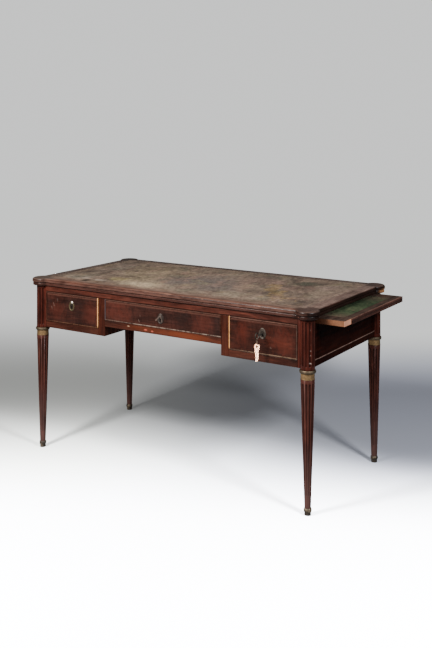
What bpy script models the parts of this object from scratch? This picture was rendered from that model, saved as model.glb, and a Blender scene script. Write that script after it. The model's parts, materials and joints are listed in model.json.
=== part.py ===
"""A flat-top writing desk on fluted legs, with three frieze drawers and a slide at each end.

Metres, +Z up, front towards -Y. The pieces are modelled about the middle of the four leg axes
on the floor; the empty "desk" then moves them so that the middle of the whole box is the origin.
"""

import math

import bmesh
import bpy
from mathutils import Matrix, Vector

# Whole desk
HEIGHT = 0.760
LEG_SPAN_X = 1.324
LEG_SPAN_Y = 0.627
GAP = 0.0003

# Top
TOP_THICK = 0.032
EDGE_OUT = 0.026
EAR_RADIUS = 0.046
EAR_STEPS = 10
NOSE_HEIGHT = 0.017
QUIRK_DEPTH = 0.005
QUIRK_HEIGHT = 0.002
BEAD_ROUND = 0.0035
BORDER = 0.045
LEDGE_WIDTH = 0.010
LEDGE_HEIGHT = 0.010
LEATHER_THICK = 0.0015
LEATHER_SINK = 0.0006

# Frieze
FACE_OUT = 0.015
BLOCK_X = 0.034
BLOCK_Y = 0.030
SECTION_HEIGHT = 0.185
CENTRE_HEIGHT = 0.143
TOP_RAIL = 0.026
SIDE_SILL_RAIL = 0.028
CENTRE_SILL_RAIL = 0.027
RAIL_DEPTH = 0.030
CENTRE_OPENING = 0.585
STILE = 0.0355
STILE_LAP = 0.010
WEB = 0.016
END_THICK = 0.022
BACK_THICK = 0.020
TENON_LENGTH = 0.011
TENON_THICK = 0.008
TENON_SHOULDER = 0.006
RUNNER_WIDTH = 0.018
RUNNER_HEIGHT = 0.018
GUIDE_HEIGHT = 0.016

# Legs
POST_RADIUS = 0.027
POST_FOOT = 0.004
RIM_RADIUS = 0.0312
RIM_HEIGHT = 0.012
RIM_STEPS = 4
NECK_RADIUS = 0.0235
BAND_RADIUS = 0.0272
BAND_BEAD = 0.0012
BAND_HEIGHT = 0.0235
LEG_TOP_RADIUS = 0.0265
LEG_FOOT_RADIUS = 0.0127
SABOT_HEIGHT = 0.028
SABOT_RADIUS = 0.0142
SABOT_RING_RADIUS = 0.0156
SABOT_RING_HEIGHT = 0.014
SABOT_FLOOR = 0.004
SABOT_PIN_RADIUS = 0.0105
LEG_STEPS = 24
COLLAR_STEPS = 20
SABOT_STEPS = 16
FLUTES = 12
FLUTE_HALF_ANGLE = math.radians(10)
FLUTE_ROUNDNESS = 1.05
FLUTE_SIDES = 8
FLUTE_TOP_MARGIN = 0.013
FLUTE_FOOT_MARGIN = 0.046
POST_FLUTE_MARGIN = 0.011

# Drawers
CLEAR = 0.0010
FRONT_THICK = 0.022
BEAD_WIDTH = 0.0045
BEAD_SEAT = 0.0040
BEAD_PROUD = 0.0025
BEAD_STEPS = 6
DRAWER_DEPTH = 0.520
DRAWER_SIDE = 0.010
DRAWER_BACK = 0.010
DRAWER_BOTTOM = 0.006
SIDE_DROP = 0.016
GROOVE_UP = 0.006
GROOVE_DEPTH = 0.005
TAIL_LAP = 0.013
TAIL_ROOT = 0.015
TAIL_SPREAD = 0.004
TAIL_PITCH = 0.030
TAIL_START = 0.016

# Locks, key and tag
KEY_DROP = 0.051
LOCK_WIDTH = 0.060
LOCK_HEIGHT = 0.066
LOCK_THICK = 0.0115
LOCK_WALL = 0.002
BOLT_WIDTH = 0.022
BOLT_THICK = 0.0045
BOLT_THROW = 0.009
BOLT_PLAY = 0.0008
BOLT_SPARE = 0.003
KEY_RADIUS = 0.0024
KEY_HOLE_RADIUS = 0.0032
KEY_SLOT_WIDTH = 0.0034
KEY_SLOT_DROP = 0.0105
KEY_BIT_REACH = 0.0095
KEY_BIT_WIDTH = 0.0020
KEY_BIT_LENGTH = 0.0055
KEY_STEPS = 12
BOW_STANDOFF = 0.029
BOW_RADIUS = 0.0115
BOW_WIRE = 0.0017
BOW_STEPS = 20
BOW_SIDES = 6
PLATE_WIDTH = 0.031
PLATE_HEIGHT = 0.040
PLATE_THICK = 0.0018
PLATE_CREST = 0.006
PLATE_CREST_SPREAD = math.radians(22)
PLATE_RIM = 0.0040
PLATE_STEPS = 24
THREAD_RADIUS = 0.0005
TAG_TURN = math.radians(24)
TAG_HEAD_WIDTH = 0.022
TAG_WAIST_WIDTH = 0.015
TAG_FOOT_WIDTH = 0.010
TAG_LENGTH = 0.064
TAG_THICK = 0.0006
TAG_HOLE_RADIUS = 0.0020
TAG_HOLE_DROP = 0.0062
TAG_STEPS = 12
TAG_WAIST_SHARE = 0.40

# Slides
SLIDE_THICK = 0.022
SLIDE_PLAY = 0.0005
SLIDE_CLEAR = 0.0010
SLIDE_LAP = 0.1125
SLIDE_PROUD = 0.003
SLIDE_DRAWN = 0.122
STRIP_THICK = 0.005
STRIP_MISSING = 0.058
STRIP_GROOVE = 0.0016
STRIP_GROOVES = (0.30, 0.70)
SLIDE_SIDE_BORDER = 0.058
SLIDE_END_BORDER = 0.034
SLIDE_SKIN_LENGTH = 0.290
SLIDE_SKIN = 0.0012

# Places that follow from the sizes above
AXIS_X = LEG_SPAN_X / 2
AXIS_Y = LEG_SPAN_Y / 2
FACE_X = AXIS_X + FACE_OUT
FACE_Y = AXIS_Y + FACE_OUT
TOP_Z = HEIGHT - TOP_THICK
RAIL_Z = TOP_Z - TOP_RAIL
SIDE_BOTTOM = TOP_Z - SECTION_HEIGHT
CENTRE_BOTTOM = TOP_Z - CENTRE_HEIGHT
SIDE_SILL = SIDE_BOTTOM + SIDE_SILL_RAIL
CENTRE_SILL = CENTRE_BOTTOM + CENTRE_SILL_RAIL
STILE_IN = CENTRE_OPENING / 2
STILE_OUT = STILE_IN + STILE
BLOCK_IN_X = AXIS_X - BLOCK_X
BLOCK_IN_Y = AXIS_Y - BLOCK_Y
SLIDE_TOP = TOP_Z - SLIDE_PLAY
SLIDE_BOTTOM = SLIDE_TOP - SLIDE_THICK
SLIDE_HALF = BLOCK_IN_Y - SLIDE_CLEAR
SLIDE_SHUT_X = FACE_X + SLIDE_PROUD
SLIDE_LENGTH = SLIDE_SHUT_X - STILE_IN + SLIDE_LAP
COLLAR_TOP = SIDE_BOTTOM - POST_FOOT
BAND_TOP = COLLAR_TOP - RIM_HEIGHT
BAND_BOTTOM = BAND_TOP - BAND_HEIGHT
RAIL_BACK = -FACE_Y + RAIL_DEPTH
BACK_IN = FACE_Y - BACK_THICK
FRONT_BACK = -FACE_Y + FRONT_THICK
SIDE_MIDDLE = (STILE_OUT + BLOCK_IN_X) / 2
KEY_Z = RAIL_Z - CLEAR - KEY_DROP
BOLT_Y = FRONT_BACK - LOCK_WALL - GAP - BOLT_THICK / 2
BOW_Y = -FACE_Y - BOW_STANDOFF - BOW_RADIUS - BOW_WIRE
BOW_FOOT = KEY_Z - BOW_RADIUS - BOW_WIRE
BOLT_FOOT = KEY_Z + KEY_BIT_REACH + 2 * BOLT_PLAY

# The whole box without the thread and tag, for the origin
LEFT_REACH = max(AXIS_X + EAR_RADIUS, SLIDE_SHUT_X)
RIGHT_REACH = max(AXIS_X + EAR_RADIUS, SLIDE_SHUT_X + SLIDE_DRAWN)
FRONT_REACH = max(AXIS_Y + EAR_RADIUS, -BOW_Y + BOW_RADIUS + BOW_WIRE)
BACK_REACH = AXIS_Y + EAR_RADIUS
ORIGIN_X = (RIGHT_REACH - LEFT_REACH) / 2
ORIGIN_Y = (BACK_REACH - FRONT_REACH) / 2

# The thread's route from the key's bow to the tag and back, as offsets from the bow's foot:
# up through the bow, over its wire, down one side, through the tag's hole and up the other side
THREAD_ROUTE = (
    (0.0030, 0.0000, -0.0022),
    (0.0029, 0.0000, 0.0002),
    (0.0025, 0.0000, 0.0024),
    (0.0015, 0.0000, 0.0039),
    (0.0000, 0.0000, 0.0044),
    (-0.0015, 0.0000, 0.0039),
    (-0.0025, 0.0000, 0.0024),
    (-0.0029, 0.0001, 0.0000),
    (-0.0028, 0.0003, -0.0028),
    (-0.0026, 0.0005, -0.0057),
    (-0.0021, 0.0013, -0.0086),
    (-0.0014, 0.0020, -0.0115),
    (-0.0010, 0.0024, -0.0144),
    (-0.0008, 0.0025, -0.0173),
    (-0.0007, 0.0023, -0.0199),
    (-0.0005, 0.0015, -0.0219),
    (0.0000, 0.0000, -0.0226),
    (0.0005, -0.0014, -0.0217),
    (0.0007, -0.0022, -0.0195),
    (0.0008, -0.0024, -0.0168),
    (0.0011, -0.0022, -0.0139),
    (0.0015, -0.0017, -0.0110),
    (0.0022, -0.0010, -0.0081),
    (0.0028, -0.0004, -0.0053),
)
TAG_HOLE_DOWN = 0.0238

MAHOGANY = ("mahogany", (0.085, 0.026, 0.016), 0.38, 0.0)
OAK = ("oak", (0.36, 0.22, 0.11), 0.60, 0.0)
BRASS = ("brass", (0.47, 0.32, 0.13), 0.36, 1.0)
IRON = ("iron", (0.15, 0.14, 0.13), 0.50, 1.0)
TOP_LEATHER = ("worn leather", (0.21, 0.17, 0.13), 0.62, 0.0)
GREEN_LEATHER = ("green leather", (0.10, 0.14, 0.08), 0.60, 0.0)
CARD = ("cream card", (0.86, 0.72, 0.58), 0.80, 0.0)
COTTON = ("cotton thread", (0.55, 0.46, 0.36), 0.90, 0.0)


def start():
    """Empties the scene and makes the two collections, which are shown once all is made."""
    for obj in list(bpy.data.objects):
        bpy.data.objects.remove(obj, do_unlink=True)
    parts = bpy.data.collections.new("flat_top_desk")
    cutters = bpy.data.collections.new("cutters")
    cutters.hide_render = True
    return parts, cutters


def empty(name, parent=None, location=(0, 0, 0)):
    obj = bpy.data.objects.new(name, None)
    obj.empty_display_size = 0.05
    obj.location = location
    obj.parent = parent
    PARTS.objects.link(obj)
    return obj


def material(finish):
    name, colour, roughness, metallic = finish
    found = bpy.data.materials.get(name)
    if found:
        return found
    made = bpy.data.materials.new(name)
    made.use_nodes = True
    shader = made.node_tree.nodes["Principled BSDF"]
    shader.inputs["Base Color"].default_value = (*colour, 1)
    shader.inputs["Roughness"].default_value = roughness
    shader.inputs["Metallic"].default_value = metallic
    made.diffuse_color = (*colour, 1)
    return made


def part(name, mesh, finish, body, location=(0, 0, 0)):
    """A sub-part with this mesh, carried by the body's empty."""
    obj = bpy.data.objects.new(name, mesh)
    obj.parent = body
    obj.location = location
    mesh.materials.append(material(finish))
    PARTS.objects.link(obj)
    return obj


def cutter(name, mesh, location=(0, 0, 0)):
    """A helper that only shapes a part. It isn't one of the parts."""
    obj = bpy.data.objects.new(name, mesh)
    obj.parent = DESK
    obj.location = location
    obj.hide_render = True
    obj.display_type = "WIRE"
    CUTTERS.objects.link(obj)
    return obj


def combine(obj, operation, name, mesh, location=(0, 0, 0)):
    """Cuts the mesh from the part, or joins it to the part."""
    modifier = obj.modifiers.new(name, "BOOLEAN")
    modifier.operation = operation
    modifier.solver = "EXACT"
    modifier.object = cutter(f"{obj.name}.{name}", mesh, location)


def cut(obj, name, mesh, location=(0, 0, 0)):
    combine(obj, "DIFFERENCE", name, mesh, location)


def join(obj, name, mesh, location=(0, 0, 0)):
    combine(obj, "UNION", name, mesh, location)


def finish_mesh(bm, name):
    bmesh.ops.recalc_face_normals(bm, faces=bm.faces)
    mesh = bpy.data.meshes.new(name)
    bm.to_mesh(mesh)
    bm.free()
    return mesh


def box(low, high):
    bm = bmesh.new()
    low, high = Vector(low), Vector(high)
    bmesh.ops.create_cube(bm, size=1)
    bmesh.ops.scale(bm, vec=high - low, verts=bm.verts)
    bmesh.ops.translate(bm, vec=(high + low) / 2, verts=bm.verts)
    return finish_mesh(bm, "box")


def evaluated_mesh(obj):
    """The object's mesh with its modifiers or bevel applied and its caps welded. The object goes."""
    graph = bpy.context.evaluated_depsgraph_get()
    mesh = bpy.data.meshes.new_from_object(obj.evaluated_get(graph))
    data = obj.data
    bpy.data.objects.remove(obj, do_unlink=True)
    if isinstance(data, bpy.types.Curve):
        bpy.data.curves.remove(data)
    bm = bmesh.new()
    bm.from_mesh(mesh)
    bmesh.ops.remove_doubles(bm, verts=bm.verts, dist=1e-6)
    bm.to_mesh(mesh)
    bm.free()
    return mesh


def prism(outline, axis, low, high):
    """A flat outline made thick along an axis. Outlines are (y, z) for X, (x, z) for Y, (x, y) for Z."""
    curve = bpy.data.curves.new("outline", "CURVE")
    curve.dimensions = "2D"
    curve.fill_mode = "BOTH"
    curve.extrude = (high - low) / 2
    spline = curve.splines.new("POLY")
    spline.points.add(len(outline) - 1)
    for point, (u, v) in zip(spline.points, outline):
        point.co = (u, v, 0, 1)
    spline.use_cyclic_u = True
    obj = bpy.data.objects.new("outline", curve)
    bpy.context.scene.collection.objects.link(obj)
    mesh = evaluated_mesh(obj)
    middle = (high + low) / 2
    turns = {
        "X": Matrix(((0, 0, 1, middle), (1, 0, 0, 0), (0, 1, 0, 0), (0, 0, 0, 1))),
        "Y": Matrix(((1, 0, 0, 0), (0, 0, -1, middle), (0, 1, 0, 0), (0, 0, 0, 1))),
        "Z": Matrix.Translation((0, 0, middle)),
    }
    mesh.transform(turns[axis])
    return mesh


def turned(profile, steps, closed=False):
    """A (radius, height) profile turned round Z. It runs down its outer side."""
    mesh = bpy.data.meshes.new("turned")
    points = [(radius, 0, height) for radius, height in profile]
    edges = [(i, i + 1) for i in range(len(points) - 1)]
    if closed:
        edges.append((len(points) - 1, 0))
    mesh.from_pydata(points, edges, [])
    obj = bpy.data.objects.new("turned", mesh)
    bpy.context.scene.collection.objects.link(obj)
    screw = obj.modifiers.new("turn", "SCREW")
    screw.steps = steps
    screw.render_steps = steps
    screw.use_merge_vertices = True
    screw.merge_threshold = 1e-5
    made = evaluated_mesh(obj)
    bpy.data.meshes.remove(mesh)
    bm = bmesh.new()
    bm.from_mesh(made)
    bpy.data.meshes.remove(made)
    return finish_mesh(bm, "turned")


def loft(rings, closed=False):
    """A skin through rings of equally many points, capped at both ends or closed on itself."""
    bm = bmesh.new()
    rows = [[bm.verts.new(point) for point in ring] for ring in rings]
    pairs = list(zip(rows, rows[1:]))
    if closed:
        pairs.append((rows[-1], rows[0]))
    else:
        bm.faces.new(rows[0])
        bm.faces.new(rows[-1])
    count = len(rows[0])
    for first, second in pairs:
        for i in range(count):
            j = (i + 1) % count
            bm.faces.new((first[i], first[j], second[j], second[i]))
    return finish_mesh(bm, "loft")


def smooth(obj, angle=30):
    obj.data.shade_smooth()
    obj.data.set_sharp_from_angle(angle=math.radians(angle))


def arc(centre, radius, first, last, steps):
    """Points along an arc, from one angle in degrees to the other."""
    found = []
    for i in range(steps + 1):
        angle = math.radians(first + (last - first) * i / steps)
        found.append((centre[0] + radius * math.cos(angle), centre[1] + radius * math.sin(angle)))
    return found


def mirrored(outline, side):
    """The outline for the right-hand piece, or its mirror image in x for the left-hand one."""
    return [(side * x, z) for x, z in outline]


def tenon(owner, host, name, low, high, inside):
    """A tongue on the owner that fills a mortise in the host, less the gap. Inside is how far it
    reaches back into the owner, per axis, so that the union is sound."""
    low, high = Vector(low), Vector(high)
    back_low = Vector([min(0, step) for step in inside])
    back_high = Vector([max(0, step) for step in inside])
    join(owner, f"tenon_{name}", box(low + back_low, high + back_high))
    room = Vector((GAP, GAP, GAP))
    cut(host, f"mortise_{name}", box(low - room + 2 * back_low, high + room + 2 * back_high))


def top_outline(inset, height):
    """The top's outline drawn in by an inset: straight edges, and an ear round each leg axis."""
    edge = EDGE_OUT - inset
    radius = EAR_RADIUS - inset
    meet = math.degrees(math.asin(edge / radius))
    points = []
    for turn, (sx, sy) in zip((0, 90, 180, 270), ((1, 1), (-1, 1), (-1, -1), (1, -1))):
        corner = (sx * AXIS_X, sy * AXIS_Y)
        first = turn - 90 + meet
        points += arc(corner, radius, first, turn + 180 - meet, EAR_STEPS)
    return [(x, y, height) for x, y in points]


def edge_profile():
    """Insets and heights down the top's edge: a rounded nose, a quirk and a smaller bead."""
    nose = NOSE_HEIGHT / 2
    profile = [(nose, HEIGHT)]
    for u, v in arc((nose, HEIGHT - nose), nose, 120, 240, 4):
        profile.append((u, v))
    quirk_top = HEIGHT - NOSE_HEIGHT
    profile.append((QUIRK_DEPTH + BEAD_ROUND, quirk_top))
    profile.append((QUIRK_DEPTH + BEAD_ROUND, quirk_top - QUIRK_HEIGHT))
    bead_top = quirk_top - QUIRK_HEIGHT
    profile.append((QUIRK_DEPTH, bead_top - BEAD_ROUND))
    profile.append((QUIRK_DEPTH, TOP_Z + BEAD_ROUND))
    profile.append((QUIRK_DEPTH + BEAD_ROUND, TOP_Z))
    return profile


def make_top():
    frame = part("top_frame", loft([top_outline(d, z) for d, z in edge_profile()]), MAHOGANY, DESK)
    half_x = AXIS_X + EDGE_OUT - BORDER
    half_y = AXIS_Y + EDGE_OUT - BORDER
    ledge_z = TOP_Z + LEDGE_HEIGHT
    low_x, low_y = half_x - LEDGE_WIDTH, half_y - LEDGE_WIDTH
    cut(frame, "well", box((-half_x, -half_y, ledge_z), (half_x, half_y, HEIGHT + TOP_THICK)))
    cut(frame, "light", box((-low_x, -low_y, TOP_Z - TOP_THICK), (low_x, low_y, HEIGHT + TOP_THICK)))
    smooth(frame)
    in_x, in_y = half_x - GAP, half_y - GAP
    leather_top = HEIGHT - LEATHER_SINK
    leather_foot = leather_top - LEATHER_THICK
    part(
        "top_panel",
        box((-in_x, -in_y, ledge_z + GAP), (in_x, in_y, leather_foot - GAP)),
        OAK,
        DESK,
    )
    part(
        "writing_leather",
        box((-in_x, -in_y, leather_foot), (in_x, in_y, leather_top)),
        TOP_LEATHER,
        DESK,
    )


def leg_radius(z):
    share = (z - SABOT_HEIGHT) / (BAND_BOTTOM - SABOT_HEIGHT)
    return LEG_FOOT_RADIUS + share * (LEG_TOP_RADIUS - LEG_FOOT_RADIUS)


def leg_profile():
    """The post, the neck that the collar sits on, the tapering leg and the pin inside the sabot."""
    top = TOP_Z - GAP
    return [
        (0, top),
        (POST_RADIUS, top),
        (POST_RADIUS, COLLAR_TOP),
        (NECK_RADIUS, COLLAR_TOP),
        (NECK_RADIUS, BAND_BOTTOM),
        (LEG_TOP_RADIUS, BAND_BOTTOM),
        (LEG_FOOT_RADIUS, SABOT_HEIGHT + GAP),
        (SABOT_PIN_RADIUS, SABOT_HEIGHT + GAP),
        (SABOT_PIN_RADIUS, SABOT_FLOOR + GAP),
        (0, SABOT_FLOOR + GAP),
    ]


def collar_profile():
    """A swelling rim over a plain band with a small bead along each edge."""
    inner = NECK_RADIUS + GAP
    low, high = BAND_BOTTOM + GAP, COLLAR_TOP - GAP
    rim_middle = BAND_TOP + (high - BAND_TOP) / 2
    swell = RIM_RADIUS - POST_RADIUS
    profile = [(inner, high)]
    for i in range(RIM_STEPS + 1):
        turn = math.radians(90 - 180 * i / RIM_STEPS)
        height = rim_middle + (high - BAND_TOP) / 2 * math.sin(turn)
        profile.append((POST_RADIUS + swell * math.cos(turn), height))
    flat = BAND_RADIUS - BAND_BEAD
    for middle in (BAND_TOP - BAND_BEAD, low + BAND_BEAD):
        profile += arc((flat, middle), BAND_BEAD, 90, -90, 2)
    profile.append((inner, low))
    return profile


def sabot_profile():
    """A cup that swells to a ring at its upper edge, with a bore for the leg's pin."""
    bore = SABOT_PIN_RADIUS + GAP
    wall = SABOT_RADIUS - BAND_BEAD
    ring_middle = SABOT_HEIGHT - SABOT_RING_HEIGHT / 2
    profile = [(0, SABOT_FLOOR), (bore, SABOT_FLOOR), (bore, SABOT_HEIGHT), (wall, SABOT_HEIGHT)]
    for angle in (60, 20, -20, -60):
        turn = math.radians(angle)
        swell = (SABOT_RING_RADIUS - SABOT_RADIUS) * math.cos(turn)
        profile.append((SABOT_RADIUS + swell, ring_middle + SABOT_RING_HEIGHT / 2 * math.sin(turn)))
    profile += [(wall, SABOT_HEIGHT - SABOT_RING_HEIGHT), (wall, BAND_BEAD), (wall - BAND_BEAD, 0), (0, 0)]
    return profile


def flute(low, high, radius_low, radius_high):
    """A round-ended spindle lying along the leg, whose near side cuts one flute."""
    sizes = []
    for radius in (radius_low, radius_high):
        half_width = radius * math.sin(FLUTE_HALF_ANGLE)
        reach = half_width * FLUTE_ROUNDNESS
        lift = math.sqrt(reach**2 - half_width**2)
        sizes.append((reach, radius * math.cos(FLUTE_HALF_ANGLE) + lift))
    (foot_reach, foot_out), (head_reach, head_out) = sizes
    foot = Vector((foot_out, 0, low))
    head = Vector((head_out, 0, high))
    length = (head - foot).length
    profile = [(0, length)]
    for angle in (45, 90):
        turn = math.radians(angle)
        profile.append((head_reach * math.sin(turn), length - head_reach * (1 - math.cos(turn))))
    for angle in (90, 45):
        turn = math.radians(angle)
        profile.append((foot_reach * math.sin(turn), foot_reach * (1 - math.cos(turn))))
    profile.append((0, 0))
    mesh = turned(profile, FLUTE_SIDES)
    lean = (head - foot).to_track_quat("Z", "Y").to_matrix().to_4x4()
    mesh.transform(Matrix.Translation(foot) @ lean)
    return mesh


def flute_ring():
    """All the flute spindles of a post and its leg, in one mesh of separate bodies."""
    leg_low = SABOT_HEIGHT + FLUTE_FOOT_MARGIN
    leg_high = BAND_BOTTOM - FLUTE_TOP_MARGIN
    shapes = (
        flute(leg_low, leg_high, leg_radius(leg_low), leg_radius(leg_high)),
        flute(COLLAR_TOP + POST_FLUTE_MARGIN, TOP_Z - POST_FLUTE_MARGIN, POST_RADIUS, POST_RADIUS),
    )
    bm = bmesh.new()
    for shape in shapes:
        for i in range(FLUTES):
            turn = Matrix.Rotation(2 * math.pi * (i + 0.5) / FLUTES, 4, "Z")
            copy = shape.copy()
            copy.transform(turn)
            bm.from_mesh(copy)
            bpy.data.meshes.remove(copy)
    return finish_mesh(bm, "flutes")


def make_leg(side, end, flutes):
    """One leg, its collar and its sabot. side is -1 at the left, end is -1 at the front."""
    name = f"{'front' if end < 0 else 'back'}_{'left' if side < 0 else 'right'}"
    place = (side * AXIS_X, end * AXIS_Y, 0)
    leg = part(f"leg_{name}", turned(leg_profile(), LEG_STEPS), MAHOGANY, DESK, place)
    cut(leg, "flutes", flutes.copy(), place)
    corners = [
        sorted((side * BLOCK_IN_X, side * FACE_X)),
        sorted((end * BLOCK_IN_Y, end * FACE_Y)),
        (SIDE_BOTTOM, TOP_Z - 2 * GAP),
    ]
    join(leg, "block", box([pair[0] for pair in corners], [pair[1] for pair in corners]))
    smooth(leg)
    collar = part(f"collar_{name}", turned(collar_profile(), COLLAR_STEPS, True), BRASS, DESK, place)
    smooth(collar)
    sabot = part(f"sabot_{name}", turned(sabot_profile(), SABOT_STEPS), BRASS, DESK, place)
    smooth(sabot)
    return leg


def frame_rings(low, high, face, outward, profile):
    """Rectangles in the x-z plane, one for each (inset, proud) point of a profile."""
    rings = []
    for inset, proud in profile:
        y = face + outward * proud
        rings.append(
            [
                (low[0] + inset, y, low[1] + inset),
                (high[0] - inset, y, low[1] + inset),
                (high[0] - inset, y, high[1] - inset),
                (low[0] + inset, y, high[1] - inset),
            ]
        )
    return rings


def bead_profile(seat):
    """A half-round bead standing on its seat: (inset, proud) round its section."""
    middle = BEAD_WIDTH / 2
    section = [(0, -seat)]
    for i in range(BEAD_STEPS + 1):
        angle = math.radians(180 - 180 * i / BEAD_STEPS)
        section.append((middle + middle * math.cos(angle), BEAD_PROUD * math.sin(angle)))
    section.append((BEAD_WIDTH, -seat))
    return section


def bead_frame(low, high, face, outward, seat):
    """A mitred half-round bead round a rectangle of a front, back or, turned, an end."""
    return loft(frame_rings(low, high, face, outward, bead_profile(seat)), True)


def make_ends(legs):
    """The two end panels, each tenoned into its legs, with a raised bead on its face."""
    top = SLIDE_BOTTOM - GAP
    inset = SIDE_SILL_RAIL - BEAD_WIDTH
    for side, name in ((-1, "left"), (1, "right")):
        xs = sorted((side * FACE_X, side * (FACE_X - END_THICK)))
        half = BLOCK_IN_Y - GAP
        panel = part(
            f"end_panel_{name}", box((xs[0], -half, SIDE_BOTTOM), (xs[1], half, top)), MAHOGANY, DESK
        )
        middle = (xs[0] + xs[1]) / 2
        for end in (-1, 1):
            ys = sorted((end * half, end * (half + TENON_LENGTH)))
            tenon(
                panel,
                legs[side, end],
                "front" if end < 0 else "back",
                (middle - TENON_THICK / 2, ys[0], SIDE_BOTTOM + TENON_SHOULDER),
                (middle + TENON_THICK / 2, ys[1], top - TENON_SHOULDER),
                (0, -end * TENON_THICK, 0),
            )
        bead = bead_frame((-half + inset, SIDE_BOTTOM + inset), (half - inset, RAIL_Z), 0, 1, BEAD_SEAT)
        bead.transform(Matrix.Rotation(-side * math.pi / 2, 4, "Z"))
        join(panel, "bead", bead, (side * FACE_X, 0, 0))


def drawer_places():
    """Each drawer's name, the edges of its opening in x, and its sill."""
    return (
        ("left", -BLOCK_IN_X, -STILE_OUT, SIDE_SILL),
        ("centre", -STILE_IN, STILE_IN, CENTRE_SILL),
        ("right", STILE_OUT, BLOCK_IN_X, SIDE_SILL),
    )


def make_back(legs):
    """The back panel, with the front's outline and three sham drawer fronts."""
    end = BLOCK_IN_X - GAP
    outline = [
        (-end, SIDE_BOTTOM),
        (-STILE_IN, SIDE_BOTTOM),
        (-STILE_IN, CENTRE_BOTTOM),
        (STILE_IN, CENTRE_BOTTOM),
        (STILE_IN, SIDE_BOTTOM),
        (end, SIDE_BOTTOM),
        (end, TOP_Z - GAP),
        (-end, TOP_Z - GAP),
    ]
    panel = part("back_panel", prism(outline, "Y", BACK_IN, FACE_Y), MAHOGANY, DESK)
    middle = (BACK_IN + FACE_Y) / 2
    for side in (-1, 1):
        xs = sorted((side * end, side * (end + TENON_LENGTH)))
        tenon(
            panel,
            legs[side, 1],
            "left" if side < 0 else "right",
            (xs[0], middle - TENON_THICK / 2, SIDE_BOTTOM + TENON_SHOULDER),
            (xs[1], middle + TENON_THICK / 2, RAIL_Z),
            (-side * TENON_THICK, 0, 0),
        )
    for name, low, high, sill in drawer_places():
        bead = bead_frame(
            (low + CLEAR, sill + CLEAR), (high - CLEAR, RAIL_Z - CLEAR), FACE_Y, 1, BEAD_SEAT
        )
        join(panel, f"bead_{name}", bead)


def make_rails(legs, dividers):
    """The rail over the drawers and the sill under each one."""
    end = BLOCK_IN_X - GAP
    middle = -FACE_Y + RAIL_DEPTH / 2
    rail = part(
        "front_top_rail", box((-end, -FACE_Y, RAIL_Z), (end, RAIL_BACK, TOP_Z - GAP)), MAHOGANY, DESK
    )
    for name, low, high, _ in drawer_places():
        half = BOLT_WIDTH / 2 + BOLT_PLAY
        centre = (low + high) / 2
        y = BOLT_THICK / 2 + BOLT_PLAY
        cut(
            rail,
            f"mortise_bolt_{name}",
            box(
                (centre - half, BOLT_Y - y, RAIL_Z - BOLT_THROW),
                (centre + half, BOLT_Y + y, RAIL_Z + BOLT_THROW + BOLT_SPARE),
            ),
        )
    for side in (-1, 1):
        xs = sorted((side * end, side * (end + TENON_LENGTH)))
        tenon(
            rail,
            legs[side, -1],
            "left" if side < 0 else "right",
            (xs[0], middle - TENON_THICK / 2, RAIL_Z + TENON_SHOULDER),
            (xs[1], middle + TENON_THICK / 2, TOP_Z - TENON_SHOULDER),
            (-side * TENON_THICK, 0, 0),
        )
        stile = side * (STILE_IN + STILE_OUT) / 2
        tenon(
            dividers[side],
            rail,
            "stile_left" if side < 0 else "stile_right",
            (stile - TENON_LENGTH, middle - TENON_THICK / 2, RAIL_Z - GAP),
            (stile + TENON_LENGTH, middle + TENON_THICK / 2, RAIL_Z + TENON_LENGTH),
            (0, 0, -TENON_THICK),
        )
    for name, low, high, sill in drawer_places():
        bottom = CENTRE_BOTTOM if name == "centre" else SIDE_BOTTOM
        low, high = low + GAP, high - GAP
        sill_rail = part(
            f"sill_rail_{name}", box((low, -FACE_Y, bottom), (high, RAIL_BACK, sill)), MAHOGANY, DESK
        )
        for side, x in ((-1, low), (1, high)):
            outer = -1 if x < 0 else 1
            host = dividers[outer] if name == "centre" or side != outer else legs[outer, -1]
            xs = sorted((x, x + side * TENON_LENGTH))
            tenon(
                sill_rail,
                host,
                f"{name}_{'low' if side < 0 else 'high'}",
                (xs[0], middle - TENON_THICK / 2, bottom + TENON_SHOULDER),
                (xs[1], middle + TENON_THICK / 2, sill - TENON_SHOULDER),
                (-side * TENON_THICK, 0, 0),
            )


def make_dividers():
    """The upright between two drawers: a stile at the front, and behind it a web with a runner and a
    guide on each side."""
    web_in = (STILE_IN + STILE_OUT - WEB) / 2
    web_out = web_in + WEB
    section = [
        (STILE_IN, SIDE_BOTTOM),
        (STILE_OUT, SIDE_BOTTOM),
        (STILE_OUT, SIDE_SILL - RUNNER_HEIGHT),
        (STILE_OUT + RUNNER_WIDTH, SIDE_SILL - RUNNER_HEIGHT),
        (STILE_OUT + RUNNER_WIDTH, SIDE_SILL),
        (STILE_OUT, SIDE_SILL),
        (STILE_OUT, SIDE_SILL + GUIDE_HEIGHT),
        (web_out, SIDE_SILL + GUIDE_HEIGHT),
        (web_out, SLIDE_BOTTOM - GAP),
        (web_in, SLIDE_BOTTOM - GAP),
        (web_in, CENTRE_SILL + GUIDE_HEIGHT),
        (STILE_IN, CENTRE_SILL + GUIDE_HEIGHT),
        (STILE_IN, CENTRE_SILL),
        (STILE_IN - RUNNER_WIDTH, CENTRE_SILL),
        (STILE_IN - RUNNER_WIDTH, CENTRE_SILL - RUNNER_HEIGHT),
        (STILE_IN, CENTRE_SILL - RUNNER_HEIGHT),
    ]
    made = {}
    for side, name in ((-1, "left"), (1, "right")):
        web = prism(mirrored(section, side), "Y", RAIL_BACK + GAP, BACK_IN - GAP)
        divider = part(f"divider_{name}", web, MAHOGANY, DESK)
        xs = sorted((side * STILE_IN, side * STILE_OUT))
        stile = box((xs[0], -FACE_Y, SIDE_BOTTOM), (xs[1], RAIL_BACK + STILE_LAP, RAIL_Z - GAP))
        join(divider, "stile", stile)
        made[side] = divider
    return made


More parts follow.
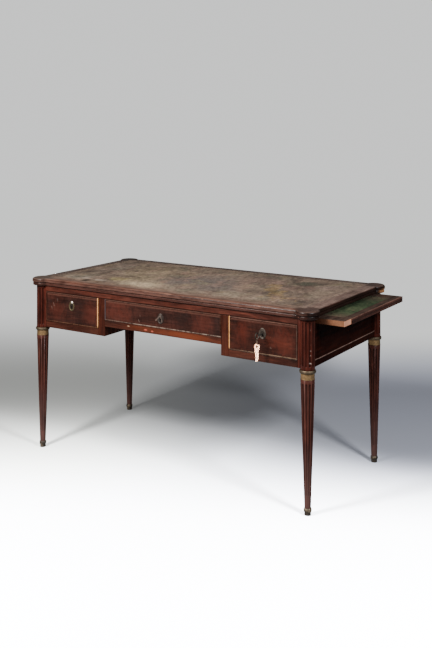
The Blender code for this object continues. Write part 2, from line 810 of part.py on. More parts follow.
def make_runners():
    """The runner and guide that carry each side drawer along its end panel."""
    inner = FACE_X - END_THICK - GAP
    section = [
        (inner, SIDE_SILL - RUNNER_HEIGHT),
        (inner, SIDE_SILL + GUIDE_HEIGHT),
        (BLOCK_IN_X, SIDE_SILL + GUIDE_HEIGHT),
        (BLOCK_IN_X, SIDE_SILL),
        (BLOCK_IN_X - RUNNER_WIDTH, SIDE_SILL),
        (BLOCK_IN_X - RUNNER_WIDTH, SIDE_SILL - RUNNER_HEIGHT),
    ]
    half = BLOCK_IN_Y - GAP
    for side, name in ((-1, "left"), (1, "right")):
        part(f"runner_{name}", prism(mirrored(section, side), "Y", -half, half), OAK, DESK)


def keyhole(x, margin, low, high):
    """A keyhole through a front, from low to high in y: a round and the slot below it."""
    radius = KEY_HOLE_RADIUS + margin
    half = KEY_SLOT_WIDTH / 2 + margin
    meet = math.degrees(math.asin(half / radius))
    outline = arc((x, KEY_Z), radius, -90 + meet, 270 - meet, KEY_STEPS)
    outline += [(x - half, KEY_Z - KEY_SLOT_DROP), (x + half, KEY_Z - KEY_SLOT_DROP)]
    return prism(outline, "Y", low, high)


def tail_heights(low, high):
    """The middles of the dovetails along a drawer side's end."""
    room = high - low - TAIL_START
    count = max(2, round(room / TAIL_PITCH))
    pitch = room / count
    return [low + TAIL_START + pitch * (i + 0.5) for i in range(count)]


def tail(end, length, middle):
    """One dovetail's (y, z) corners, from a shoulder at end, pointing by the sign of the length."""
    root = TAIL_ROOT / 2
    tip = (TAIL_ROOT + TAIL_SPREAD) / 2
    far = end + length
    return [(end, middle - root), (far, middle - tip), (far, middle + tip), (end, middle + root)]


def socket(end, length, middle, beyond):
    """The (y, z) outline that cuts a dovetail's socket: wider than the tail by the gap all round, and
    running on before its shoulder and beyond its tip."""
    root = TAIL_ROOT / 2 + GAP
    tip = root + TAIL_SPREAD / 2 * (1 + beyond / abs(length))
    start = end - math.copysign(TAIL_LAP, length)
    far = end + length + math.copysign(beyond, length)
    return [
        (start, middle - root),
        (end, middle - root),
        (far, middle - tip),
        (far, middle + tip),
        (end, middle + root),
        (start, middle + root),
    ]


def make_side(name, body, x_low, heights, z_low, z_high, y_back):
    """A drawer side with its dovetails, grooved for the bottom on its inner face."""
    front = FRONT_BACK + GAP
    back = y_back - DRAWER_BACK - GAP
    outline = [(front, z_low), (back, z_low)]
    for middle in heights:
        outline += tail(back, DRAWER_BACK, middle)
    outline += [(back, z_high), (front, z_high)]
    for middle in reversed(heights):
        outline += reversed(tail(front, -TAIL_LAP, middle))
    return part(name, prism(outline, "X", x_low, x_low + DRAWER_SIDE), OAK, body)


def make_drawer(name, low, high, sill, body):
    """One drawer: front, bead, escutcheon, lock, sides, back and bottom."""
    label = f"drawer_{name}"
    low, high = low + CLEAR, high - CLEAR
    foot, head = sill + CLEAR, RAIL_Z - CLEAR
    middle = (low + high) / 2
    field = BEAD_WIDTH + GAP
    steps = [(field, 0), (field, -BEAD_SEAT - GAP), (0, -BEAD_SEAT - GAP), (0, -FRONT_THICK)]
    front = part(
        f"{label}_front", loft(frame_rings((low, foot), (high, head), -FACE_Y, -1, steps)), MAHOGANY, body
    )
    bead = part(f"{label}_bead", bead_frame((low, foot), (high, head), -FACE_Y, -1, BEAD_SEAT), BRASS, body)
    smooth(bead)

    half = LOCK_WIDTH / 2
    lock_foot = head - LOCK_HEIGHT
    lock_front = FRONT_BACK - LOCK_THICK
    cut(
        front,
        "lock_pocket",
        box(
            (middle - half - GAP, lock_front - GAP, lock_foot - GAP),
            (middle + half + GAP, FRONT_BACK + LOCK_THICK, head + LOCK_THICK),
        ),
    )
    cut(front, "keyhole", keyhole(middle, 0, -FACE_Y - FRONT_THICK, lock_front + LOCK_WALL))
    case = box((middle - half, lock_front, lock_foot), (middle + half, FRONT_BACK, head))
    lock = part(f"{label}_lock", case, IRON, body)
    hollow_lock(lock, middle, name == "right")

    plate = part(f"{label}_escutcheon", escutcheon(middle), BRASS, body)
    cut(plate, "keyhole", keyhole(middle, 0, -FACE_Y - FRONT_THICK, FRONT_BACK))

    z_low, z_high = sill + GAP, RAIL_Z - SIDE_DROP
    y_back = -FACE_Y + DRAWER_DEPTH
    heights = tail_heights(z_low, z_high)
    groove_low = z_low + GROOVE_UP
    groove_high = groove_low + DRAWER_BOTTOM + 2 * GAP
    inner_low, inner_high = low + DRAWER_SIDE, high - DRAWER_SIDE
    sides = (("left", low, inner_low, -1), ("right", inner_high, inner_high, 1))
    groove = box(
        (inner_low - GROOVE_DEPTH, FRONT_BACK - GROOVE_DEPTH, groove_low),
        (inner_high + GROOVE_DEPTH, y_back + DRAWER_BACK, groove_high),
    )
    for hand, x_low, _, _ in sides:
        side = make_side(f"{label}_side_{hand}", body, x_low, heights, z_low, z_high, y_back)
        cut(side, "groove", groove.copy())
    cut(front, "groove", groove)

    back_foot = groove_high + GAP
    back = part(
        f"{label}_back", box((low, y_back - DRAWER_BACK, back_foot), (high, y_back, z_high)), OAK, body
    )
    for hand, _, inner, side in sides:
        ends = sorted((inner + side * (DRAWER_SIDE + CLEAR), inner - side * GAP))
        for i, height in enumerate(heights):
            lapped = socket(FRONT_BACK + GAP, -TAIL_LAP, height, GAP)
            cut(front, f"socket_{hand}_{i}", prism(lapped, "X", *ends))
            through = socket(y_back - DRAWER_BACK - GAP, DRAWER_BACK, height, DRAWER_BACK)
            cut(back, f"socket_{hand}_{i}", prism(through, "X", *ends))

    reach = GROOVE_DEPTH - GAP
    part(
        f"{label}_bottom",
        box(
            (inner_low - reach, FRONT_BACK - reach, groove_low + GAP),
            (inner_high + reach, y_back, groove_high - GAP),
        ),
        OAK,
        body,
    )


def bolt_box(x, margin, low, high):
    """A lock bolt's block, or with a margin the hole it slides in."""
    half_x = BOLT_WIDTH / 2 + margin
    half_y = BOLT_THICK / 2 + margin
    return box((x - half_x, BOLT_Y - half_y, low), (x + half_x, BOLT_Y + half_y, high))


def hollow_lock(lock, x, works):
    """Hollows a lock's case from the front. A lock that works has a slot for its own bolt; in the
    others the bolt is shown drawn back, in one with the case."""
    half = LOCK_WIDTH / 2 - LOCK_WALL
    head = RAIL_Z - CLEAR
    low = head - LOCK_HEIGHT + LOCK_WALL
    back = FRONT_BACK - LOCK_WALL
    cut(lock, "hollow", box((x - half, FRONT_BACK - FRONT_THICK, low), (x + half, back, head - LOCK_WALL)))
    if works:
        cut(lock, "bolt_slot", bolt_box(x, GAP, head - 2 * LOCK_WALL, head + LOCK_WALL))
    else:
        stuck = bolt_box(x, 0, BOLT_FOOT, head - LOCK_WALL / 2)
        stuck.transform(Matrix.Translation((0, LOCK_WALL / 2, 0)))
        join(lock, "bolt", stuck)


def plate_ring(x, inset, y):
    """An escutcheon's outline drawn in by an inset: an oval with a rounded crest."""
    half_x = PLATE_WIDTH / 2 - inset
    half_z = PLATE_HEIGHT / 2 - inset
    ring = []
    for i in range(PLATE_STEPS):
        angle = 2 * math.pi * i / PLATE_STEPS
        from_top = (angle - math.pi / 2) / PLATE_CREST_SPREAD
        crest = PLATE_CREST * math.exp(-(from_top**2))
        ring.append((x + half_x * math.cos(angle), y, KEY_Z + half_z * math.sin(angle) + crest))
    return ring


def escutcheon(x):
    """A stamped oval plate with a raised rim, standing just off the drawer front."""
    seat = -FACE_Y - GAP
    steps = ((0, 0), (0, 0.5), (0.3, 0.9), (0.7, 1), (1, 0.9), (1.3, 0.5))
    return loft([plate_ring(x, PLATE_RIM * u, seat - PLATE_THICK * v) for u, v in steps])


def make_key(body):
    """The key in the right-hand lock. Its origin is on its axis, in the drawer front's face."""
    inner = FACE_Y + FRONT_BACK - LOCK_WALL - BOLT_PLAY
    outer = BOW_Y + FACE_Y + BOW_RADIUS
    shank = turned([(0, inner), (KEY_RADIUS, inner), (KEY_RADIUS, outer), (0, outer)], KEY_STEPS)
    shank.transform(Matrix.Rotation(-math.pi / 2, 4, "X"))
    key = part("key", shank, IRON, body, (SIDE_MIDDLE, -FACE_Y, KEY_Z))
    bit_end = inner - BOLT_PLAY
    half = KEY_BIT_WIDTH / 2
    bit = box((-half, bit_end - KEY_BIT_LENGTH, -KEY_BIT_REACH), (half, bit_end, 0))
    join(key, "bit", bit, key.location)
    rings = []
    for i in range(BOW_STEPS):
        angle = 2 * math.pi * i / BOW_STEPS
        ring = []
        for across, out in arc((0, BOW_RADIUS), BOW_WIRE, 0, 360 - 360 / BOW_SIDES, BOW_SIDES - 1):
            ring.append((across, BOW_Y + FACE_Y + out * math.cos(angle), out * math.sin(angle)))
        rings.append(ring)
    join(key, "bow", loft(rings, True), key.location)
    head = RAIL_Z - CLEAR - GAP
    part("lock_bolt", bolt_box(SIDE_MIDDLE, 0, BOLT_FOOT, head), IRON, body)


def make_tag(body):
    """The paper tag tied to the key's bow, and its thread."""
    curve = bpy.data.curves.new("tag_thread", "CURVE")
    curve.dimensions = "3D"
    curve.bevel_depth = THREAD_RADIUS
    curve.bevel_resolution = 1
    curve.use_fill_caps = True
    spline = curve.splines.new("POLY")
    spline.points.add(len(THREAD_ROUTE) - 1)
    for point, (x, y, z) in zip(spline.points, THREAD_ROUTE):
        point.co = (x, y, z, 1)
    part("tag_thread", curve, COTTON, body, (SIDE_MIDDLE, BOW_Y, BOW_FOOT))
    top = TAG_HOLE_DROP
    head = TAG_HEAD_WIDTH / 2
    waist = TAG_WAIST_WIDTH / 2
    foot = TAG_FOOT_WIDTH / 2
    right = arc((0, top - head), head, 70, -30, TAG_STEPS // 2)
    right += [(waist, top - TAG_LENGTH * TAG_WAIST_SHARE), (foot, top - TAG_LENGTH)]
    left = [(-across, z) for across, z in reversed(right)]
    outline = right + left
    turn = Matrix.Rotation(TAG_TURN, 4, "Z")
    sheet = prism(outline, "Y", -TAG_THICK / 2, TAG_THICK / 2)
    sheet.transform(turn)
    place = (SIDE_MIDDLE, BOW_Y, BOW_FOOT - TAG_HOLE_DOWN)
    tag = part("tag", sheet, CARD, body, place)
    ring = arc((0, 0), TAG_HOLE_RADIUS, 360 / TAG_STEPS, 360, TAG_STEPS - 1)
    hole = prism(ring, "Y", -TAG_HOLE_RADIUS, TAG_HOLE_RADIUS)
    hole.transform(turn)
    cut(tag, "hole", hole, place)


def make_slide(side, drawn, missing, body):
    """A slide under the top, drawn out by a length: a board, the moulded strip on its end, and the
    leather let into its upper face."""
    label = f"slide_{'left' if side < 0 else 'right'}"
    end = SLIDE_SHUT_X + drawn
    board_end = end - STRIP_THICK - GAP
    xs = sorted((side * (end - SLIDE_LENGTH), side * board_end))
    board = part(
        f"{label}_board",
        box((xs[0], -SLIDE_HALF, SLIDE_BOTTOM), (xs[1], SLIDE_HALF, SLIDE_TOP)),
        OAK,
        body,
    )
    skin_end = end - SLIDE_END_BORDER
    half = SLIDE_HALF - SLIDE_SIDE_BORDER
    xs = sorted((side * (skin_end - SLIDE_SKIN_LENGTH), side * skin_end))
    bed = SLIDE_TOP - SLIDE_SKIN
    cut(
        board,
        "skin_bed",
        box((xs[0] - GAP, -half - GAP, bed - 2 * GAP), (xs[1] + GAP, half + GAP, SLIDE_TOP + SLIDE_THICK)),
    )
    part(
        f"{label}_leather",
        box((xs[0], -half, bed - GAP), (xs[1], half, SLIDE_TOP - GAP)),
        GREEN_LEATHER,
        body,
    )
    section = [(end - STRIP_THICK, SLIDE_BOTTOM), (end, SLIDE_BOTTOM)]
    for share in STRIP_GROOVES:
        z = SLIDE_BOTTOM + share * SLIDE_THICK
        section += [(end, z - STRIP_GROOVE), (end - STRIP_GROOVE, z), (end, z + STRIP_GROOVE)]
    section += [(end, SLIDE_TOP), (end - STRIP_THICK, SLIDE_TOP)]
    strip = prism(mirrored(section, side), "Y", -SLIDE_HALF + missing, SLIDE_HALF)
    part(f"{label}_strip", strip, MAHOGANY, body)


PARTS, CUTTERS = start()
DESK = empty("desk", None, (-ORIGIN_X, -ORIGIN_Y, 0))
make_top()
flutes = flute_ring()
legs = {(side, end): make_leg(side, end, flutes) for side in (-1, 1) for end in (-1, 1)}
make_ends(legs)
make_back(legs)
dividers = make_dividers()
make_rails(legs, dividers)
make_runners()
drawers = {}
for name, low, high, sill in drawer_places():
    drawers[name] = empty(f"drawer_{name}", DESK)
    make_drawer(name, low, high, sill, drawers[name])
make_key(drawers["right"])
make_tag(drawers["right"])
make_slide(-1, 0, 0, empty("slide_left", DESK))
make_slide(1, SLIDE_DRAWN, STRIP_MISSING, empty("slide_right", DESK))
bpy.context.scene.collection.children.link(PARTS)
bpy.context.scene.collection.children.link(CUTTERS)
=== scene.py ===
"""The looks of the flat-top writing desk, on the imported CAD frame.

Metres, +Z up, front towards -Y. Places are given about the middle of the four leg axes on the floor,
as in part.py, and at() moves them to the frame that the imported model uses.
"""

import json
import math

import bmesh
import bpy
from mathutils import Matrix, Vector


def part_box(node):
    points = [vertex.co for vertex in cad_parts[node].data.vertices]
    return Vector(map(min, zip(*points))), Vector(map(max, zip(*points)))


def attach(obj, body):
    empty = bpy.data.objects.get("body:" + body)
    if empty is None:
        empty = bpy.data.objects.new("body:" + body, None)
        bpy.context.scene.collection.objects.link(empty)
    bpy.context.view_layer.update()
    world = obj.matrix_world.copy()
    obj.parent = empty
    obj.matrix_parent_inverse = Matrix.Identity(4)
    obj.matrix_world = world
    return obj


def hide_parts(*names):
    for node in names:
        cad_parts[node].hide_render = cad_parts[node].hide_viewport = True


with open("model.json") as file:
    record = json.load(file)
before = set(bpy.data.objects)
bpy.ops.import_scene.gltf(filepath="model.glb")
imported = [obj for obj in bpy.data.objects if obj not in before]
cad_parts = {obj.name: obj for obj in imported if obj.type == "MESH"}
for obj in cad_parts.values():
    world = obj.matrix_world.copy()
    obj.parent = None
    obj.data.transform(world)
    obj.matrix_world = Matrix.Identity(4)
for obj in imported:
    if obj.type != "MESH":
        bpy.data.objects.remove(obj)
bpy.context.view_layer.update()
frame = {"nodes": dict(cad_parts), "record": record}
NODES = frame["nodes"]
BODY_OF = {node: body for body, nodes in frame["record"]["behaviour"]["bodies"].items() for node in nodes}

# The desk's own middle (between the leg axes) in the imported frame
DESK_X = -0.0470
DESK_Y = 0.0122


def at(x, y, z):
    """A point given about the middle of the leg axes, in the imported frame."""
    return Vector((x + DESK_X, y + DESK_Y, z))


# Camera, from the fit to the photo
CAMERA_PLACE = at(2.189, -3.330, 1.452)
CAMERA_TURN = 0.5691
CAMERA_LENS = 50.506
CAMERA_SHIFT = -0.3108


def make_camera():
    """The photo's camera: level, with the view shifted down."""
    data = bpy.data.cameras.new("camera")
    data.lens = CAMERA_LENS
    data.sensor_width = 36
    data.shift_y = CAMERA_SHIFT
    data.clip_end = 100
    obj = bpy.data.objects.new("camera", data)
    obj.location = CAMERA_PLACE
    obj.rotation_euler = (math.pi / 2, 0, CAMERA_TURN)
    bpy.context.scene.collection.objects.link(obj)
    bpy.context.scene.camera = obj


make_camera()

# Sizes that the new pieces share with part.py
GAP = 0.0003
AXIS_X, AXIS_Y = 0.662, 0.3135
CORNERS = {"front_left": (-1, -1), "back_left": (-1, 1), "front_right": (1, -1), "back_right": (1, 1)}
HEIGHT = 0.760
TOP_FOOT = 0.728
EDGE_OUT = 0.026
EAR_RADIUS = 0.046
BORDER = 0.045
NOSE_HEIGHT = 0.017
QUIRK_HEIGHT = 0.002
QUIRK_DEPTH = 0.003
NOSE_FOOT_ROUND = 0.0025
BEAD_ROUND = 0.0035
LEDGE_TOP = 0.738
LEDGE_WIDTH = 0.010
FACE_Y = -0.3285
BACK_INNER = 0.3085
BACK_END = 0.6277
SIDE_BOTTOM = 0.543
CENTRE_BOTTOM = 0.585
CENTRE_HALF = 0.2925
COLLAR_TOP = 0.539
BAND_TOP = 0.527
BAND_BOTTOM = 0.5035
POST_RADIUS = 0.027
NECK_RADIUS = 0.0235
LEG_TOP_RADIUS = 0.0265
LEG_FOOT_RADIUS = 0.0127
SABOT_HEIGHT = 0.028
BEAD_WIDTH = 0.0045
BEAD_PROUD = 0.0025
KEY_Z = 0.650
LOCKS_X = {"left": -0.478, "centre": 0.0, "right": 0.478}
PLATE_HALF = (0.0155, 0.0200)
SLIDE_TOP = 0.7275
END_BEAD_Z = 0.5690
RAIL_FOOT = 0.702
DRAWER_TOP = 0.701
KEYHOLE_RADIUS = 0.0032
KEYHOLE_SLOT = (0.0034, 0.0105)

# The tag's thread: its route repeats part.py's, from the foot of the key's bow
BOW_FOOT = at(0.478, -0.3707, 0.6368)
TAG_HOLE = at(0.478, -0.3707, 0.6130)
THREAD_DIAMETER = 0.0010
THREAD_ROUTE = (
    (0.0030, 0.0000, -0.0022),
    (0.0029, 0.0000, 0.0002),
    (0.0025, 0.0000, 0.0024),
    (0.0015, 0.0000, 0.0039),
    (0.0000, 0.0000, 0.0044),
    (-0.0015, 0.0000, 0.0039),
    (-0.0025, 0.0000, 0.0024),
    (-0.0029, 0.0001, 0.0000),
    (-0.0028, 0.0003, -0.0028),
    (-0.0026, 0.0005, -0.0057),
    (-0.0021, 0.0013, -0.0086),
    (-0.0014, 0.0020, -0.0115),
    (-0.0010, 0.0024, -0.0144),
    (-0.0008, 0.0025, -0.0173),
    (-0.0007, 0.0023, -0.0199),
    (-0.0005, 0.0015, -0.0219),
    (0.0000, 0.0000, -0.0226),
    (0.0005, -0.0014, -0.0217),
    (0.0007, -0.0022, -0.0195),
    (0.0008, -0.0024, -0.0168),
    (0.0011, -0.0022, -0.0139),
    (0.0015, -0.0017, -0.0110),
    (0.0022, -0.0010, -0.0081),
    (0.0028, -0.0004, -0.0053),
)


class Graph:
    """A material's nodes, made in a line or two each, with the colour that has been painted so far."""

    def __init__(self, name):
        self.material = bpy.data.materials.new(name)
        self.material.use_nodes = True
        self.nodes = self.material.node_tree.nodes
        self.links = self.material.node_tree.links
        self.shader = self.nodes["Principled BSDF"]
        self.place = self.nodes.new("ShaderNodeTexCoord").outputs["Object"]
        self.colour = self.pores = None

    def put(self, socket, value):
        """Joins an output to the socket, or sets the socket to a constant."""
        if isinstance(value, bpy.types.NodeSocket):
            self.links.new(value, socket)
        elif isinstance(value, (tuple, list)) and len(value) == 3 and socket.type == "RGBA":
            socket.default_value = (*value, 1)
        else:
            socket.default_value = value

    def node(self, kind, inputs, **settings):
        """A new node with its settings, and its inputs joined or set."""
        node = self.nodes.new(f"ShaderNode{kind}")
        for name, value in settings.items():
            setattr(node, name, value)
        for name, value in inputs.items():
            self.put(node.inputs[name], value)
        return node

    def mapped(self, scale=(1, 1, 1), move=(0, 0, 0), turn=(0, 0, 0), source=None):
        inputs = {"Vector": source or self.place, "Scale": scale, "Location": move, "Rotation": turn}
        return self.node("Mapping", inputs).outputs["Vector"]

    def noise(self, vector, scale, detail=4, rough=0.55, distortion=0):
        inputs = {"Vector": vector, "Scale": scale, "Detail": detail, "Roughness": rough}
        return self.node("TexNoise", {**inputs, "Distortion": distortion}).outputs["Fac"]

    def ramp(self, value, stops):
        """Colours by value; stops are (position, colour or grey)."""
        node = self.node("ValToRGB", {"Fac": value})
        elements = node.color_ramp.elements
        while len(elements) < len(stops):
            elements.new(0.5)
        for element, (position, colour) in zip(elements, stops):
            element.position = position
            if not isinstance(colour, tuple):
                colour = (colour, colour, colour)
            element.color = (*colour, 1)
        return node.outputs["Color"]

    def mix(self, amount, first, second, blend="MIX"):
        inputs = {0: amount, 6: first, 7: second}
        return self.node("Mix", inputs, data_type="RGBA", blend_type=blend).outputs[2]

    def math(self, operation, first, second=0.0, third=0.0):
        return self.node("Math", {0: first, 1: second, 2: third}, operation=operation).outputs[0]

    def vector(self, operation, first, second=None):
        inputs = {0: first} if second is None else {0: first, 1: second}
        node = self.node("VectorMath", inputs, operation=operation)
        return node.outputs["Value" if operation in ("LENGTH", "DOT_PRODUCT") else "Vector"]

    def remap(self, value, low, high, to_low=0.0, to_high=1.0):
        """A smooth step from to_low, where the value is low, to to_high."""
        inputs = {"Value": value, "From Min": low, "From Max": high, "To Min": to_low, "To Max": to_high}
        return self.node("MapRange", inputs, interpolation_type="SMOOTHSTEP").outputs["Result"]

    def axes(self, vector=None):
        return self.node("SeparateXYZ", {0: vector or self.place}).outputs

    def about_desk(self):
        """The x, y and z of a point about the middle of the leg axes."""
        return self.axes(self.mapped(move=(-DESK_X, -DESK_Y, 0)))

    def between(self, amount, low, high):
        """A number that goes from low to high with the amount."""
        return self.math("MULTIPLY_ADD", amount, high - low, low)

    def times(self, *amounts):
        """The amounts multiplied together."""
        product = amounts[0]
        for amount in amounts[1:]:
            product = self.math("MULTIPLY", product, amount)
        return product

    def over(self, colour, tint, *amounts):
        """The tint laid over the colour, as strongly as the amounts multiplied together say."""
        return self.mix(self.times(*amounts), colour, tint)

    def tinted(self, colour, tint):
        """The colour multiplied by a tint."""
        return self.mix(1.0, colour, tint, "MULTIPLY")

    def mottled(self, colour, share, value, *stops):
        """The colour made darker and lighter by the value's ramp, as strongly as the share says."""
        return self.mix(share, colour, self.ramp(value, stops), "MULTIPLY")

    def paint(self, tint, *amounts):
        """Lays a tint over what has been painted."""
        self.colour = self.over(self.colour, tint, *amounts)

    def retint(self, tint, *amounts):
        """Multiplies what has been painted by a tint, where the amounts say so."""
        self.paint(self.tinted(self.colour, tint), *amounts)

    def mottle(self, share, value, *stops):
        """Mottles what has been painted."""
        self.colour = self.mottled(self.colour, share, value, *stops)

    def apart(self, value, line):
        """How far a number is from a line, on either side."""
        return self.math("ABSOLUTE", self.math("SUBTRACT", value, line))

    def away(self, centre, size, source=None):
        """How far a point is from a centre, as a share of the size."""
        step = self.vector("SUBTRACT", source or self.place, tuple(centre))
        return self.vector("LENGTH", self.vector("DIVIDE", step, tuple(size)))

    def from_leg(self, x, y):
        """How far a point is from the nearest leg's axis."""
        squares = []
        for value, axis in ((x, AXIS_X), (y, AXIS_Y)):
            out = self.math("SUBTRACT", self.math("ABSOLUTE", value), axis)
            squares.append(self.math("POWER", out, 2.0))
        return self.math("SQRT", self.math("ADD", *squares))

    def inside(self, x, y, inset=0.0):
        """How far a point is in from the top's ends and from its sides, both drawn in by an inset."""
        return [
            self.math("SUBTRACT", axis + EDGE_OUT - inset, self.math("ABSOLUTE", value))
            for value, axis in ((x, AXIS_X), (y, AXIS_Y))
        ]

    def blob(self, centre, size, wobble=None, ragged=1.2):
        """1 at a point, falling to 0 at the size away from it, with a ragged edge."""
        far = self.away(centre, size)
        if wobble is not None:
            far = self.math("ADD", far, self.math("MULTIPLY_ADD", wobble, ragged, -ragged / 2))
        return self.remap(far, 1.0, 0.2)

    def on_front(self, x, z, wide, tall, wobble, ragged):
        """A blob on the desk's front."""
        return self.blob(at(x, FACE_Y, z), (wide, 1, tall), wobble, ragged)

    def on_top(self, x, y, wide, deep, wobble, ragged):
        """A blob on the writing skin."""
        return self.blob(at(x, y, HEIGHT), (wide, deep, 1), wobble, ragged)

    def stroke(self, start, end, width, wobble, ragged):
        """1 along a line between two points, falling to 0 at the width from it, with a ragged edge."""
        along = end - start
        step = self.vector("SUBTRACT", self.place, tuple(start))
        share = self.vector("DOT_PRODUCT", step, tuple(along / along.length_squared))
        share = self.math("MINIMUM", self.math("MAXIMUM", share, 0.0), 1.0)
        foot = self.node("VectorMath", {0: tuple(along), "Scale": share}, operation="SCALE")
        far = self.vector("LENGTH", self.vector("SUBTRACT", step, foot.outputs["Vector"]))
        far = self.math("DIVIDE", far, width)
        far = self.math("ADD", far, self.math("MULTIPLY_ADD", wobble, 2 * ragged, -ragged))
        return self.remap(far, 1.0, 0.3)

    def scratch(self, tint, scratches, wobble, middle=0.0):
        """Paints scratches on the desk's front, which are given about a lock's middle."""
        for start, end, width, share in scratches:
            first, last = (at(middle + x, FACE_Y, KEY_Z + z) for x, z in (start, end))
            self.paint(tint, self.stroke(first, last, width, wobble, 0.5), share)

    def bump(self, height, strength, distance, normal=None):
        inputs = {"Height": height, "Strength": strength, "Distance": distance}
        if normal is not None:
            inputs["Normal"] = normal
        return self.node("Bump", inputs).outputs["Normal"]

    def finish(self, rough, metallic=0.0, normal=None, specular=0.5):
        inputs = {"Base Color": self.colour, "Roughness": rough, "Metallic": metallic}
        inputs["Specular IOR Level"] = specular
        if normal is not None:
            inputs["Normal"] = normal
        for name, value in inputs.items():
            self.put(self.shader.inputs[name], value)
        return self.material


# Wood: how far its figure and its pores are drawn out along the grain
GRAIN = {"X": (1, 8, 8), "Y": (8, 1, 8), "Z": (8, 8, 1)}
PORES = {"X": (9, 330, 330), "Y": (330, 9, 330), "Z": (330, 330, 9)}
# Each wood's figure: dark, middle and light
PLAIN = ((0.0060, 0.0021, 0.0016), (0.0240, 0.0066, 0.0041), (0.0560, 0.0158, 0.0084))
TONES = {
    "mahogany_drawers": ((0.0110, 0.0052, 0.0044), (0.0270, 0.0094, 0.0070), (0.0540, 0.0162, 0.0112)),
    "mahogany_rails": ((0.0130, 0.0042, 0.0030), (0.0370, 0.0105, 0.0064), (0.0760, 0.0215, 0.0120)),
    "mahogany_legs": ((0.0125, 0.0047, 0.0039), (0.0420, 0.0132, 0.0098), (0.0850, 0.0280, 0.0200)),
    "mahogany_uprights": ((0.0110, 0.0028, 0.0018), (0.0340, 0.0078, 0.0042), (0.0720, 0.0185, 0.0090)),
    # The ends are painted darker than the rest, as painted shade under the slides
    "mahogany_ends_shaded": ((0.0030, 0.0006, 0.0004), (0.0115, 0.0021, 0.0012), (0.0260, 0.0052, 0.0026)),
    "mahogany_back": PLAIN,
    "slide_board": ((0.0115, 0.0068, 0.0052), (0.0370, 0.0215, 0.0160), (0.0760, 0.0450, 0.0335)),
    "mahogany_strips": ((0.0110, 0.0042, 0.0031), (0.0480, 0.0165, 0.0118), (0.1050, 0.0400, 0.0280)),
}
BLOOM = (0.060, 0.036, 0.030)


def figured(g, axis, tones, shift):
    """Old mahogany with its grain along an axis: (colour, pores). The shift tells one wood from another."""
    dark, middle, light = tones
    broad = g.noise(g.mapped(GRAIN[axis], (shift, shift * 0.7, shift * 1.3)), 2.6, 7, 0.68, 1.5)
    colour = g.ramp(broad, ((0.30, dark), (0.50, middle), (0.72, light)))
    stripe = g.noise(g.mapped(GRAIN[axis], (shift * 3, 0, 0)), 15, 5, 0.62, 0.6)
    colour = g.mottled(colour, 0.65, stripe, (0.30, 0.35), (0.64, 1.25))
    pores = g.noise(g.mapped(PORES[axis], (shift, 0, 0)), 1.0, 3, 0.6)
    return g.mottled(colour, 0.5, pores, (0.30, 0.42), (0.62, 1.0)), pores


def begun(name, axis, shift):
    """A wood's graph with its colour and pores."""
    g = Graph(name)
    g.colour, g.pores = figured(g, axis, TONES[name], shift)
    return g


def polish(g, shift, bloom=0.10, rough=0.31, specular=0.10):
    """Old shellac over the wood: a dusty bloom in patches, dirt, scuffs and a soft gloss."""
    dust = g.noise(g.mapped(move=(shift * 2, 0, 0)), 11, 6, 0.68, 0.3)
    g.paint(BLOOM, g.remap(dust, 0.42, 0.78, 0.0, bloom))
    dirt = g.noise(g.mapped(move=(0, shift, 0)), 6, 5, 0.6)
    g.mottle(0.55, dirt, (0.30, 0.45), (0.58, 1.0))
    scuff = g.noise(g.place, 46, 5, 0.7)
    gloss = g.remap(scuff, 0.35, 0.75, rough - 0.08, rough + 0.18)
    normal = g.bump(g.pores, 0.12, 0.0004, g.bump(scuff, 0.08, 0.0006))
    return g.finish(gloss, normal=normal, specular=specular)


# Patches on the drawer fronts: (x, z, half width, half height)
RED_PATCHES = (
    (-0.365, 0.630, 0.070, 0.075),
    (-0.560, 0.620, 0.060, 0.060),
    (-0.215, 0.655, 0.110, 0.060),
    (0.205, 0.655, 0.080, 0.060),
    (0.565, 0.635, 0.070, 0.080),
    (0.390, 0.640, 0.040, 0.070),
)
BLACK_PATCHES = (
    (-0.440, 0.640, 0.045, 0.075),
    (0.110, 0.650, 0.060, 0.075),
    (0.275, 0.650, 0.030, 0.080),
    (0.440, 0.630, 0.045, 0.060),
    (0.630, 0.610, 0.030, 0.060),
    (0.010, 0.655, 0.035, 0.040),
)
# Pale scratches, in x and z about the centre lock: (start, end, width, strength). Two meet over its keyhole
KEY_SCRATCHES = (
    ((0.000, 0.0150), (-0.0235, -0.0070), 0.0044, 0.75),
    ((0.000, 0.0150), (0.0085, -0.0120), 0.0034, 0.75),
)
DRAWER_SCRATCHES = (
    ((-0.5850, 0.0050), (-0.5800, -0.0080), 0.0032, 0.45),
    ((-0.5950, -0.0120), (-0.5930, -0.0200), 0.0028, 0.45),
    ((-0.5620, 0.0250), (-0.5610, 0.0150), 0.0030, 0.30),
    ((-0.1125, -0.0155), (-0.1085, -0.0235), 0.0030, 0.55),
    ((-0.1050, 0.0050), (-0.1040, -0.0010), 0.0022, 0.40),
    ((0.5120, -0.0475), (0.5150, -0.0500), 0.0036, 0.45),
)


